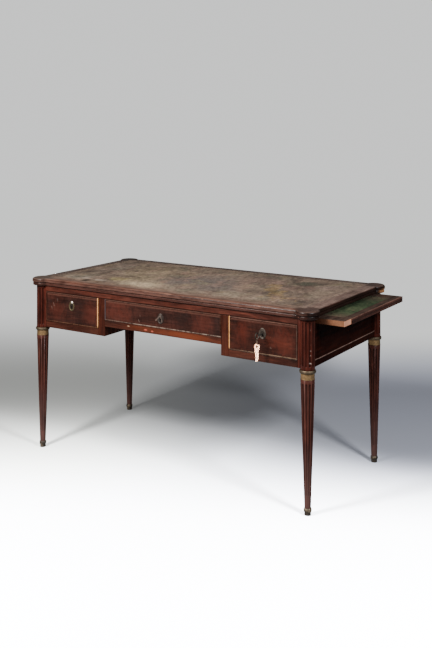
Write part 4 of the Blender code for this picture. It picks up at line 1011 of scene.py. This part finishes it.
def cylinder(sides, radius, depth, middle, turn=(0, 0, 0)):
    """A cylinder at its size and place."""
    fresh()
    bpy.ops.mesh.primitive_cylinder_add(
        vertices=sides, radius=radius, depth=depth, location=middle, rotation=turn
    )
    return fixed()


def changed(obj, kind, **settings):
    """Applies a modifier to the piece."""
    modifier = obj.modifiers.new(kind.lower(), kind)
    for name, value in settings.items():
        setattr(modifier, name, value)
    take(obj)
    bpy.ops.object.modifier_apply(modifier=modifier.name)


def drop(obj):
    """Puts away a tool or a pattern."""
    bpy.data.objects.remove(obj, do_unlink=True)


def carve(obj, tool, operation="DIFFERENCE"):
    """Cuts the tool from the piece, or joins it on, and puts the tool away."""
    changed(obj, "BOOLEAN", operation=operation, solver="EXACT", object=tool)
    drop(tool)


def ease(obj, width):
    """Rounds the sharp edges."""
    changed(obj, "BEVEL", width=width, segments=2, limit_method="ANGLE", angle_limit=math.radians(35))


def drawn(rows, sides):
    """A disc drawn through rows of (x, y, z, radius), each extruded from the last."""
    x, y, z, radius = rows[0]
    fresh()
    bpy.ops.mesh.primitive_circle_add(vertices=sides, radius=radius, fill_type="NGON", location=(x, y, z))
    obj = fixed()
    edit(obj)
    for next_x, next_y, next_z, wide in rows[1:]:
        step = (next_x - x, next_y - y, next_z - z)
        bpy.ops.mesh.extrude_region_move(TRANSFORM_OT_translate={"value": step})
        share = wide / radius
        bpy.ops.transform.resize(value=(share, share, 1), center_override=(next_x, next_y, next_z))
        x, y, z, radius = next_x, next_y, next_z, wide
    outwards()
    return obj


def turned(profile, sides):
    """A solid of (radius, height) rows about the z axis, foot first."""
    return drawn([(0, 0, height, radius) for radius, height in profile], sides)


def placed_copy(pattern, move, mirror=(1, 1)):
    """A copy with its own mesh, mirrored in x or y if asked, moved to its place."""
    obj = pattern.copy()
    obj.data = pattern.data.copy()
    bpy.context.scene.collection.objects.link(obj)
    obj.location = move
    take(obj)
    return fixed((*mirror, 1))


def finished(obj, node, angle=35):
    """Turns the faces outwards, smooths them, gives the piece its finish and the node's place."""
    edit(obj)
    outwards()
    bpy.ops.object.shade_smooth_by_angle(angle=math.radians(angle))
    obj.name = f"{node}_look"
    obj.data.materials.clear()
    obj.data.materials.append(MATERIALS[material_of(node)])
    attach(obj, BODY_OF[node])
    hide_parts(node)
    return obj


def settled(obj):
    """Keeps the flat faces flat to the light, beside their rounded edges."""
    changed(obj, "WEIGHTED_NORMAL", keep_sharp=True)


def flattened():
    """Joins faces that lie in one plane, in edit mode."""
    bpy.ops.mesh.dissolve_limited(angle_limit=math.radians(0.5))


def worn_copy(node, width):
    """A copy of a CAD piece with its edges eased as handling eases them."""
    obj = bpy.data.objects.new(node, NODES[node].data.copy())
    bpy.context.scene.collection.objects.link(obj)
    edit(obj)
    bpy.ops.mesh.remove_doubles(threshold=NEAR)
    flattened()
    ease(obj, width)
    settled(finished(obj, node))


# The legs' flutes, and the margins from them to the collar, the sabot and the post's ends
FLUTES = 12
FLUTE_HALF_ANGLE = math.radians(10)
FLUTE_ROUNDNESS = 1.05
FLUTE_TOP_MARGIN = 0.013
FLUTE_FOOT_MARGIN = 0.046
POST_FLUTE_MARGIN = 0.011
FLUTE_END_ANGLES = (14, 32, 52, 72, 90)
# The pin in the sabot, and the square block behind the post: its inner and outer reach
PIN_RADIUS = 0.0105
PIN_FOOT = 0.0043
BLOCK_IN = (0.034, 0.030)
BLOCK_OUT = 0.015
LEG_CHAMFER = 0.0010
POST_CHAMFER = 0.0008


def flute_cutters(low, high, radius_low, radius_high):
    """Twelve round-ended spindles that lean along the leg, modelled once and spun round its axis."""
    pitch = 2 * math.pi / FLUTES
    rows = []
    for end, radius, rise, angles in (
        (low, radius_low, 1, FLUTE_END_ANGLES),
        (high, radius_high, -1, FLUTE_END_ANGLES[::-1]),
    ):
        half = radius * math.sin(FLUTE_HALF_ANGLE)
        reach = half * FLUTE_ROUNDNESS
        out = radius * math.cos(FLUTE_HALF_ANGLE) + math.sqrt(reach**2 - half**2)
        x, y = out * math.cos(pitch / 2), out * math.sin(pitch / 2)
        for swell in map(math.radians, angles):
            rows.append((x, y, end + rise * reach * (1 - math.cos(swell)), reach * math.sin(swell)))
    tool = drawn(rows, FLUTE_SIDES)
    edit(tool)
    turn = pitch * (FLUTES - 1)
    bpy.ops.mesh.spin(steps=FLUTES - 1, dupli=True, angle=turn, center=(0, 0, 0), axis=(0, 0, 1))
    leave()
    return tool


def leg_radius(z):
    """The tapering leg's radius at a height."""
    share = (z - SABOT_HEIGHT) / (BAND_BOTTOM - SABOT_HEIGHT)
    return LEG_FOOT_RADIUS + share * (LEG_TOP_RADIUS - LEG_FOOT_RADIUS)


def make_legs():
    """One fluted leg with its post and block, copied to the four corners."""
    foot = SABOT_HEIGHT + GAP
    leg = turned(
        [
            (PIN_RADIUS, PIN_FOOT),
            (PIN_RADIUS, foot),
            (LEG_FOOT_RADIUS, foot),
            (LEG_TOP_RADIUS, BAND_BOTTOM - LEG_CHAMFER),
            (LEG_TOP_RADIUS - LEG_CHAMFER, BAND_BOTTOM),
            (NECK_RADIUS, BAND_BOTTOM),
            (NECK_RADIUS, COLLAR_TOP),
            (POST_RADIUS - POST_CHAMFER, COLLAR_TOP),
            (POST_RADIUS, COLLAR_TOP + POST_CHAMFER),
            (POST_RADIUS, TOP_FOOT - GAP),
        ],
        LEG_SIDES,
    )
    low, high = SABOT_HEIGHT + FLUTE_FOOT_MARGIN, BAND_BOTTOM - FLUTE_TOP_MARGIN
    carve(leg, flute_cutters(low, high, leg_radius(low), leg_radius(high)))
    low, high = COLLAR_TOP + POST_FLUTE_MARGIN, TOP_FOOT - POST_FLUTE_MARGIN
    carve(leg, flute_cutters(low, high, POST_RADIUS, POST_RADIUS))
    in_x, in_y = BLOCK_IN
    corner = block((-in_x, -in_y, SIDE_BOTTOM), (BLOCK_OUT, BLOCK_OUT, TOP_FOOT - 2 * GAP))
    ease(corner, POST_CHAMFER)
    carve(leg, corner, "UNION")
    for name, (side, end) in CORNERS.items():
        finished(placed_copy(leg, at(side * AXIS_X, end * AXIS_Y, 0), (side, end)), f"leg_{name}", 50)
    drop(leg)


# The brass mounts: the collar's flat band with a small bead at each edge, and its rim
# (half height, radius, swell); the sabot's foot as (radius, height) rows, its swelling and its socket
COLLAR_FLAT = 0.0260
COLLAR_BEAD = 0.0012
COLLAR_RIM = (0.0057, 0.0290, 0.0022)
SABOT_FOOT = ((0.0106, 0.0), (0.0126, 0.0008), (0.0130, 0.0024), (0.0128, 0.0130))
SABOT_SWELL = (0.0200, 0.0066, 0.0136, 0.0020)
SABOT_LIP = 0.0130
SABOT_BORE = (0.0108, 0.0040)


def swelling(middle, half_height, radius, swell, steps):
    """(radius, height) rows up a half-round swelling."""
    rows = []
    for i in range(steps + 1):
        turn = math.radians(-90 + 180 * i / steps)
        rows.append((radius + swell * math.cos(turn), middle + half_height * math.sin(turn)))
    return rows


def make_mounts():
    """One collar and one sabot, turned in brass and copied to the four legs."""
    foot = BAND_BOTTOM + GAP
    rows = [(COLLAR_FLAT - 0.0005, foot)]
    for middle in (foot + COLLAR_BEAD, BAND_TOP - COLLAR_BEAD):
        rows += swelling(middle, COLLAR_BEAD, COLLAR_FLAT, COLLAR_BEAD, 8)
    rows += swelling((BAND_TOP + COLLAR_TOP) / 2, *COLLAR_RIM, 14)
    rows.append((NECK_RADIUS + 0.002, COLLAR_TOP - GAP))
    collar = turned(rows, ROUND_SIDES)
    bore = NECK_RADIUS + GAP
    carve(collar, turned([(bore, BAND_BOTTOM - BEYOND), (bore, COLLAR_TOP + BEYOND)], BORE_SIDES))
    sabot = turned([*SABOT_FOOT, *swelling(*SABOT_SWELL, 12), (SABOT_LIP, SABOT_HEIGHT)], BORE_SIDES)
    bore, floor = SABOT_BORE
    carve(sabot, turned([(bore, floor), (bore, BEYOND)], BORE_SIDES))
    for name, (side, end) in CORNERS.items():
        place = at(side * AXIS_X, end * AXIS_Y, 0)
        finished(placed_copy(collar, place), f"collar_{name}", 40)
        finished(placed_copy(sabot, place), f"sabot_{name}", 40)
    drop(collar)
    drop(sabot)


def rounded(width, segments):
    """Rounds the selected edges, in edit mode, and leaves it."""
    bpy.ops.mesh.bevel(offset=width, segments=segments, profile=0.5, clamp_overlap=False)
    leave()


def eared_slab(inset, low, high, round_low=0, round_high=0):
    """A slab with a round ear at each corner, its outline drawn in by an inset and its edges rounded."""
    half_x, half_y = AXIS_X + EDGE_OUT - inset, AXIS_Y + EDGE_OUT - inset
    slab = block(at(-half_x, -half_y, low), at(half_x, half_y, high))
    for side, end in CORNERS.values():
        middle = at(side * AXIS_X, end * AXIS_Y, (low + high) / 2)
        carve(slab, cylinder(ROUND_SIDES, EAR_RADIUS - inset, high - low, middle), "UNION")
    edit(slab)
    flattened()
    leave()
    for height, width in ((high, round_high), (low, round_low)):
        if width:
            pick_edges(slab, lambda point, height=height: abs(point.z - height) < NEAR)
            rounded(width, 8)
    return slab


# The core that joins the top's nose to the bead below it, from foot to top
CORE_ENDS = (TOP_FOOT + 0.002, HEIGHT - 0.004)


def make_top_frame():
    """The top's frame: a round nose over a quirk and a smaller bead, with the well for board and skin."""
    quirk_top = HEIGHT - NOSE_HEIGHT
    nose = eared_slab(0, quirk_top, HEIGHT, NOSE_FOOT_ROUND, NOSE_HEIGHT / 2 - HAIR)
    core = eared_slab(QUIRK_DEPTH + BEAD_ROUND, *CORE_ENDS)
    bead = eared_slab(QUIRK_DEPTH, TOP_FOOT, quirk_top - QUIRK_HEIGHT, BEAD_ROUND, BEAD_ROUND)
    carve(nose, core, "UNION")
    carve(nose, bead, "UNION")
    half_x, half_y = AXIS_X + EDGE_OUT - BORDER, AXIS_Y + EDGE_OUT - BORDER
    for inset, floor in ((0, LEDGE_TOP), (LEDGE_WIDTH, TOP_FOOT - BEYOND)):
        low = at(inset - half_x, inset - half_y, floor)
        carve(nose, block(low, at(half_x - inset, half_y - inset, HEIGHT + BEYOND)))
    settled(finished(nose, "top_frame", 40))


# The leather skins: how many cuts across each, and how far and how broadly they are pulled out of flat
SKIN_CUTS = {"writing_leather": 60, "slide_left_leather": 24, "slide_right_leather": 24}
SKIN_EDGE = 0.0004
SLACK = 0.0005
SLACK_BREADTH = 0.09


def make_skin(node, cuts):
    """A leather skin: a thin sheet with an eased edge, pulled a little out of flat."""
    skin = block(*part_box(node))
    ease(skin, SKIN_EDGE)
    pick(skin, "FACE", lambda face: face.normal.z > 0.9)
    bpy.ops.mesh.subdivide(number_cuts=cuts)
    leave()
    clouds = bpy.data.textures.new(f"{node}_slack", "CLOUDS")
    clouds.noise_scale = SLACK_BREADTH
    changed(
        skin,
        "DISPLACE",
        texture=clouds,
        texture_coords="LOCAL",
        direction="Z",
        strength=SLACK,
        mid_level=0.5,
    )
    finished(skin, node)


def bead_ring(low, high, crest):
    """A half-round bead round a rectangle, mitred at its corners; crest is the y of its round side."""
    ring = block(low, high)
    inset = Vector((BEAD_WIDTH, -CLEAR, BEAD_WIDTH))
    carve(ring, block(Vector(low) + inset, Vector(high) - inset))
    pick_edges(ring, lambda point: abs(point.y - crest) < NEAR)
    rounded(BEAD_WIDTH / 2 - HAIR / 2, 6)
    return ring


def make_bead(drawer):
    """The brass bead round a drawer front."""
    node = f"drawer_{drawer}_bead"
    low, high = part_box(node)
    finished(bead_ring(low, high, low.y), node, 50)


# The back's eased edge, and how deep its beads go into it
PANEL_EDGE = 0.0009
BEAD_SUNK = 0.002


def make_back():
    """The back: the front's outline in one panel, with a bead round each of three sham drawers."""
    panel = block(at(-BACK_END, BACK_INNER, SIDE_BOTTOM), at(BACK_END, -FACE_Y, TOP_FOOT - GAP))
    low = at(-CENTRE_HALF, BACK_INNER - BEYOND, SIDE_BOTTOM - BEYOND)
    carve(panel, block(low, at(CENTRE_HALF, BEYOND - FACE_Y, CENTRE_BOTTOM)))
    ease(panel, PANEL_EDGE)
    face = DESK_Y - FACE_Y
    crest = face + BEAD_PROUD
    for drawer in LOCKS_X:
        low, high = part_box(f"drawer_{drawer}_bead")
        ring = bead_ring((low.x, face - BEAD_SUNK, low.z), (high.x, crest, high.z), crest)
        carve(panel, ring, "UNION")
    settled(finished(panel, "back_panel", 50))


# A lock's plate, from its edge in to its field: (share of its width, height off the drawer)
PLATE_ROWS = (
    (1.00, 0.0008),
    (0.965, 0.0014),
    (0.900, 0.0018),
    (0.820, 0.0015),
    (0.765, 0.0010),
    (0.700, 0.0007),
)
# How far the middle of its upper edge is drawn up, and how broadly
PLATE_CREST = 0.0030
CREST_BREADTH = 0.008
CREST_FROM = 0.93 * PLATE_HALF[1]
UPRIGHT = (math.pi / 2, 0, 0)


def make_plates():
    """One oval plate with a round rim, a sunk field and its keyhole, copied to the three locks."""
    fresh()
    bpy.ops.mesh.primitive_circle_add(vertices=ROUND_SIDES, radius=1, fill_type="NGON", rotation=UPRIGHT)
    plate = fixed((*PLATE_HALF, 1))
    edit(plate)
    share, out = 1.0, 0.0
    for next_share, next_out in PLATE_ROWS:
        bpy.ops.mesh.extrude_region_move(TRANSFORM_OT_translate={"value": (0, out - next_out, 0)})
        change = next_share / share
        bpy.ops.transform.resize(value=(change, 1, change), center_override=(0, -next_out, 0))
        share, out = next_share, next_out
    pick_edges(plate, lambda point: point.z > CREST_FROM)
    bpy.ops.transform.translate(
        value=(0, 0, PLATE_CREST),
        use_proportional_edit=True,
        proportional_edit_falloff="SMOOTH",
        proportional_size=CREST_BREADTH,
    )
    outwards()
    hole = cylinder(SMALL_SIDES, KEYHOLE_RADIUS, 2 * CLEAR, (0, 0, 0), UPRIGHT)
    wide, fall = KEYHOLE_SLOT
    carve(hole, block((-wide / 2, -CLEAR, -fall), (wide / 2, CLEAR, 0)), "UNION")
    carve(plate, hole)
    for drawer, x in LOCKS_X.items():
        finished(placed_copy(plate, at(x, FACE_Y - GAP, KEY_Z)), f"drawer_{drawer}_escutcheon", 50)
    drop(plate)


# The key standing on its inner end: rows of (radius, height) up its shank, then its bow and its bit
KEY_INNER = FACE_Y + 0.0192
KEY_LENGTH = 0.0499
KEY_SHANK = (
    (0.0017, 0.0),
    (0.0024, 0.0007),
    (0.0024, KEY_LENGTH - 0.0100),
    (0.0033, KEY_LENGTH - 0.0094),
    (0.0033, KEY_LENGTH - 0.0078),
    (0.0026, KEY_LENGTH - 0.0070),
    (0.0026, KEY_LENGTH - 0.0046),
    (0.0035, KEY_LENGTH - 0.0038),
    (0.0035, KEY_LENGTH - 0.0018),
    (0.0022, KEY_LENGTH - 0.0002),
)
BOW_RADIUS = 0.0115
BOW_WIRE = 0.0017
BOW_FLATTENING = 1.25
BIT_REACH = 0.0095
BIT_HALF = 0.0010
BIT_EDGE = 0.0002
BIT_ENDS = (0.0008, 0.0063)
WARD = (0.0030, 0.0041)
WARD_DEPTH = 0.0058


def make_key():
    """The key: a turned shank with two collars, a round bow and a bit cut for its ward."""
    key = turned(KEY_SHANK, SMALL_SIDES)
    middle = (0, 0, KEY_LENGTH + BOW_RADIUS)
    fresh()
    bpy.ops.mesh.primitive_torus_add(
        major_radius=BOW_RADIUS,
        minor_radius=BOW_WIRE,
        major_segments=56,
        minor_segments=14,
        location=middle,
        rotation=(0, math.pi / 2, 0),
    )
    bow = fixed()
    edit(bow)
    bpy.ops.transform.resize(value=(BOW_FLATTENING, 1, 1), center_override=middle)
    leave()
    carve(key, bow, "UNION")
    bit = block((-BIT_HALF, -BIT_REACH, BIT_ENDS[0]), (BIT_HALF, 0, BIT_ENDS[1]))
    carve(bit, block((-CLEAR, -BIT_REACH - CLEAR, WARD[0]), (CLEAR, -WARD_DEPTH, WARD[1])))
    ease(bit, BIT_EDGE)
    carve(key, bit, "UNION")
    key.rotation_euler = UPRIGHT
    key.location = at(LOCKS_X["right"], KEY_INNER, KEY_Z)
    take(key)
    finished(fixed(), "key", 40)


# The tag, about its hole, head first: (height, half width, curl, twist in degrees from the row above)
TAG_ROWS = (
    (0.0072, 0.0022, 0.0000, 0),
    (0.0066, 0.0046, 0.0000, 0),
    (0.0052, 0.0070, 0.0000, 0),
    (0.0028, 0.0092, 0.0000, 0),
    (-0.0002, 0.0104, 0.0000, 0),
    (-0.0034, 0.0108, 0.0000, 0),
    (-0.0066, 0.0104, -0.0002, 1),
    (-0.0100, 0.0092, -0.0005, 2),
    (-0.0150, 0.0076, -0.0010, 3),
    (-0.0260, 0.0066, -0.0018, 4),
    (-0.0370, 0.0063, -0.0025, 5),
    (-0.0480, 0.0057, -0.0028, 5),
    (-0.0575, 0.0046, -0.0027, 4),
)
TAG_TURN = math.radians(24)
TAG_THICK = 0.0004
TAG_HOLE_RADIUS = 0.0042
TAG_HOLE_DROP = 0.0030


def make_tag():
    """The card tag: a strip drawn row by row from its head, curled and twisted, with a hole."""
    place = TAG_HOLE
    top, wide, _, _ = TAG_ROWS[0]
    low, low_wide, _, _ = TAG_ROWS[1]
    middle = place + Vector((0, 0, (top + low) / 2))
    fresh()
    bpy.ops.mesh.primitive_plane_add(size=1, location=middle, rotation=UPRIGHT)
    tag = fixed((2 * wide, top - low, 1))
    foot = place.z + low
    pick_edges(tag, lambda point: abs(point.z - foot) < NEAR)
    bpy.ops.transform.resize(value=(low_wide / wide, 1, 1), center_override=(place.x, place.y, foot))
    height, curl = low, 0.0
    for next_height, next_wide, next_curl, twist in TAG_ROWS[2:]:
        step = (0, next_curl - curl, next_height - height)
        bpy.ops.mesh.extrude_edges_move(TRANSFORM_OT_translate={"value": step})
        centre = (place.x, place.y + next_curl, place.z + next_height)
        share = next_wide / low_wide
        bpy.ops.transform.resize(value=(share, share, 1), center_override=centre)
        bpy.ops.transform.rotate(value=math.radians(twist), orient_axis="Z", center_override=centre)
        height, curl, low_wide = next_height, next_curl, next_wide
    bpy.ops.mesh.select_all(action="SELECT")
    bpy.ops.transform.rotate(value=-TAG_TURN, orient_axis="Z", center_override=tuple(place))
    leave()
    changed(tag, "SOLIDIFY", thickness=TAG_THICK, offset=0)
    middle = place - Vector((0, 0, TAG_HOLE_DROP))
    carve(tag, cylinder(SMALL_SIDES, TAG_HOLE_RADIUS, 2 * CLEAR, middle, (math.pi / 2, 0, TAG_TURN)))
    return finished(tag, "tag", 30)


# CAD pieces that only have their edges eased, by the start of their names
WORN = {
    "drawer_left_front": 0.0005,
    "drawer_centre_front": 0.0005,
    "drawer_right_front": 0.0005,
    "end_panel": 0.0007,
    "front_top_rail": 0.0009,
    "sill_rail": 0.0011,
    "divider": 0.0009,
    "slide_left_board": 0.0012,
    "slide_right_board": 0.0012,
    "slide_left_strip": 0.0006,
    "slide_right_strip": 0.0006,
}

hang(make_tag())
make_plates()
make_key()
for skin_node, skin_cuts in SKIN_CUTS.items():
    make_skin(skin_node, skin_cuts)
make_legs()
make_mounts()
make_top_frame()
for drawer_name in LOCKS_X:
    make_bead(drawer_name)
make_back()
for name in sorted(NODES):
    for start, width in WORN.items():
        if name.startswith(start):
            worn_copy(name, width)

# Floor, background and lights
FLOOR_SIZE = 14.0
BOUNCE_DEPTH = 0.003
BOUNCE_SHADE = 0.30
WALL = 0.95
WALL_TINT = (0.99, 1.0, 0.995)
ROOM_LIGHT = 0.08
ROOM_TINT = (0.95, 0.98, 1.0, 1)
# The paper roll hangs square to a line at this turn. A pool of light is painted on the paper in front of
# the desk, with painted shade behind it, partly as emission, and it melts into the backdrop further off.
# Each edge is (at the left, at the right), behind the middle
PAPER_TURN = 0.569
PAPER_SIDES = (-0.75, 1.00)
LIT_UNTIL = (-0.72, -0.82)
DIM_FROM = (1.10, 0.16)
MELTS_FROM = (1.00, 0.85)
MELTED_AT = (3.10, 2.40)
MELTS_ROUND = (2.0, 3.4)
SHADE_DIM, SHADE_LIT = 0.018, 0.34
GLOW_DIM, GLOW_LIT = (0.15, 0.07), 1.5
# A shadow painted into the paper's glow, where the desk stands in the way of the light behind it
DESK_SHADE_AT = (0.27, 1.47, 0)
DESK_SHADE_SIZE = (0.62, 0.75, 1)
# The two lamps, where the shadows of the legs say that they stand
LAMP_LEFT = at(-0.6, -2.6, 2.4)
LAMP_RIGHT = at(2.6, -1.0, 2.1)
WARM, COOL, WHITE = (1.0, 0.97, 0.93), (0.92, 0.96, 1.0), (1.0, 1.0, 1.0)
# Weak lamps, lower than the top, for the sides that the photo doesn't show
FILLS = {
    "fill_back_left": at(-1.5, 2.9, 0.50),
    "fill_back_right": at(0.3, 2.9, 0.50),
    "fill_left": at(-2.6, 1.9, 0.50),
}
FILL_SIZE = 0.42
FILL_POWER = 60
FILL_TINT = (1.0, 0.98, 0.95)


def camera_only(obj):
    """Leaves the piece out of everything but what the camera sees directly."""
    obj.visible_diffuse = False
    obj.visible_glossy = False
    obj.visible_transmission = False
    obj.visible_volume_scatter = False
    obj.visible_shadow = False


def disc(name, height):
    """A wide flat disc for the floor."""
    fresh()
    bpy.ops.mesh.primitive_circle_add(
        vertices=128, radius=FLOOR_SIZE, fill_type="NGON", location=(0, 0, height)
    )
    obj = bpy.context.object
    obj.name = name
    return obj


def make_floor():
    """The paper floor: a pool of light painted in front, painted shade under and behind the desk, one with
    the backdrop far off.
    """
    floor = disc("floor", 0.0)
    g = Graph("pale_floor")
    place = g.mapped(turn=(0, 0, -PAPER_TURN), source=g.mapped(move=(-DESK_X, -DESK_Y, 0)))
    across, behind, _ = g.axes(place)
    side = g.remap(across, *PAPER_SIDES)
    # Painted light: the paper is tinted cooler at the right and towards the front
    tint = g.mix(side, (0.98, 1.0, 0.965), (0.95, 1.0, 1.18))
    tint = g.over(tint, (0.98, 1.0, 1.06), g.remap(behind, 0.0, -0.6))
    tint = g.over(tint, (0.985, 1.0, 0.99), g.remap(behind, 1.0, 2.2))
    # Painted light: the paper is paler, and glows more, where its pool of light is painted
    lit = g.remap(behind, g.between(side, *DIM_FROM), g.between(side, *LIT_UNTIL))
    lit = g.math("POWER", lit, 2.0)
    far = g.remap(behind, g.between(side, *MELTS_FROM), g.between(side, *MELTED_AT))
    melt = g.math("MAXIMUM", far, g.remap(g.vector("LENGTH", place), *MELTS_ROUND))
    shade = g.times(g.between(lit, SHADE_DIM, SHADE_LIT), g.math("SUBTRACT", 1.0, melt))
    painted_glow = g.mix(lit, g.between(side, *GLOW_DIM), (GLOW_LIT, GLOW_LIT, GLOW_LIT))
    painted_glow = g.over(painted_glow, (WALL, WALL, WALL), melt)
    shadow = g.remap(g.away(DESK_SHADE_AT, DESK_SHADE_SIZE, place), 1.0, 0.3, 0.0, 0.7)
    painted_glow = g.over(painted_glow, (0, 0, 0), shadow)
    g.colour = g.tinted(shade, tint)
    g.finish(0.9, specular=0.0)
    g.put(g.shader.inputs["Emission Color"], g.tinted(painted_glow, tint))
    g.put(g.shader.inputs["Emission Strength"], 1.0)
    floor.data.materials.append(g.material)
    camera_only(floor)
    return floor


def make_stage():
    """The floor that only gives back light, the grey backdrop, and a weak light from all round."""
    bounce = disc("floor_bounce", -BOUNCE_DEPTH)
    g = Graph("floor_bounce")
    g.colour = (BOUNCE_SHADE, BOUNCE_SHADE, BOUNCE_SHADE)
    g.finish(0.9, specular=0.0)
    bounce.data.materials.append(g.material)
    bounce.visible_camera = False

    fresh()
    bpy.ops.mesh.primitive_uv_sphere_add(segments=48, ring_count=24, radius=FLOOR_SIZE, location=(0, 0, 0))
    wall = bpy.context.object
    wall.name = "backdrop"
    g = Graph("grey_backdrop")
    grey = tuple(WALL * part for part in WALL_TINT)
    glow = g.node("Emission", {"Color": grey, "Strength": 1.0})
    g.links.new(glow.outputs[0], g.nodes["Material Output"].inputs["Surface"])
    wall.data.materials.append(g.material)
    camera_only(wall)

    world = bpy.data.worlds.new("studio")
    world.use_nodes = True
    background = world.node_tree.nodes["Background"]
    background.inputs["Color"].default_value = ROOM_TINT
    background.inputs["Strength"].default_value = ROOM_LIGHT
    bpy.context.scene.world = world


def make_light(name, place, target, size, power, colour, only):
    """A soft square lamp; only is a collection that it alone lights."""
    data = bpy.data.lights.new(name, "AREA")
    data.shape = "SQUARE"
    data.size = size
    data.energy = power
    data.color = colour
    obj = bpy.data.objects.new(name, data)
    obj.location = place
    obj.rotation_euler = (target - place).to_track_quat("-Z", "Y").to_euler()
    obj.visible_camera = False
    bpy.context.scene.collection.objects.link(obj)
    if only is not None:
        obj.light_linking.receiver_collection = only
    return obj


def grouped(name, pieces):
    """A collection of pieces for a lamp to light alone."""
    group = bpy.data.collections.new(name)
    for piece in pieces:
        group.objects.link(piece)
    return group


desk = grouped("desk", [obj for obj in bpy.context.scene.objects if obj.type in ("MESH", "CURVE")])
card = grouped("card", [bpy.data.objects["tag_look"]])
paper = grouped("paper", [make_floor()])
make_stage()

# Each lamp's name, place, target, size, power, tint, and what it lights alone
LAMPS = (
    ("lamp_left", LAMP_LEFT, at(0, 0, 0.5), 1.0, 290, WARM, None),
    ("lamp_right", LAMP_RIGHT, at(0.1, 0, 0.5), 0.8, 110, COOL, None),
    ("card_left", LAMP_LEFT, TAG_HOLE, 1.0, 230, WARM, card),
    ("paper_left", LAMP_LEFT, at(0, 0, 0), 0.5, 2600, WHITE, paper),
    ("paper_right", LAMP_RIGHT, at(0, 0, 0), 0.45, 2200, WHITE, paper),
)
for lamp in LAMPS:
    make_light(*lamp)
for name, place in FILLS.items():
    fill = make_light(name, place, at(0, 0, 0.5), FILL_SIZE, FILL_POWER, FILL_TINT, desk)
    fill.visible_glossy = False
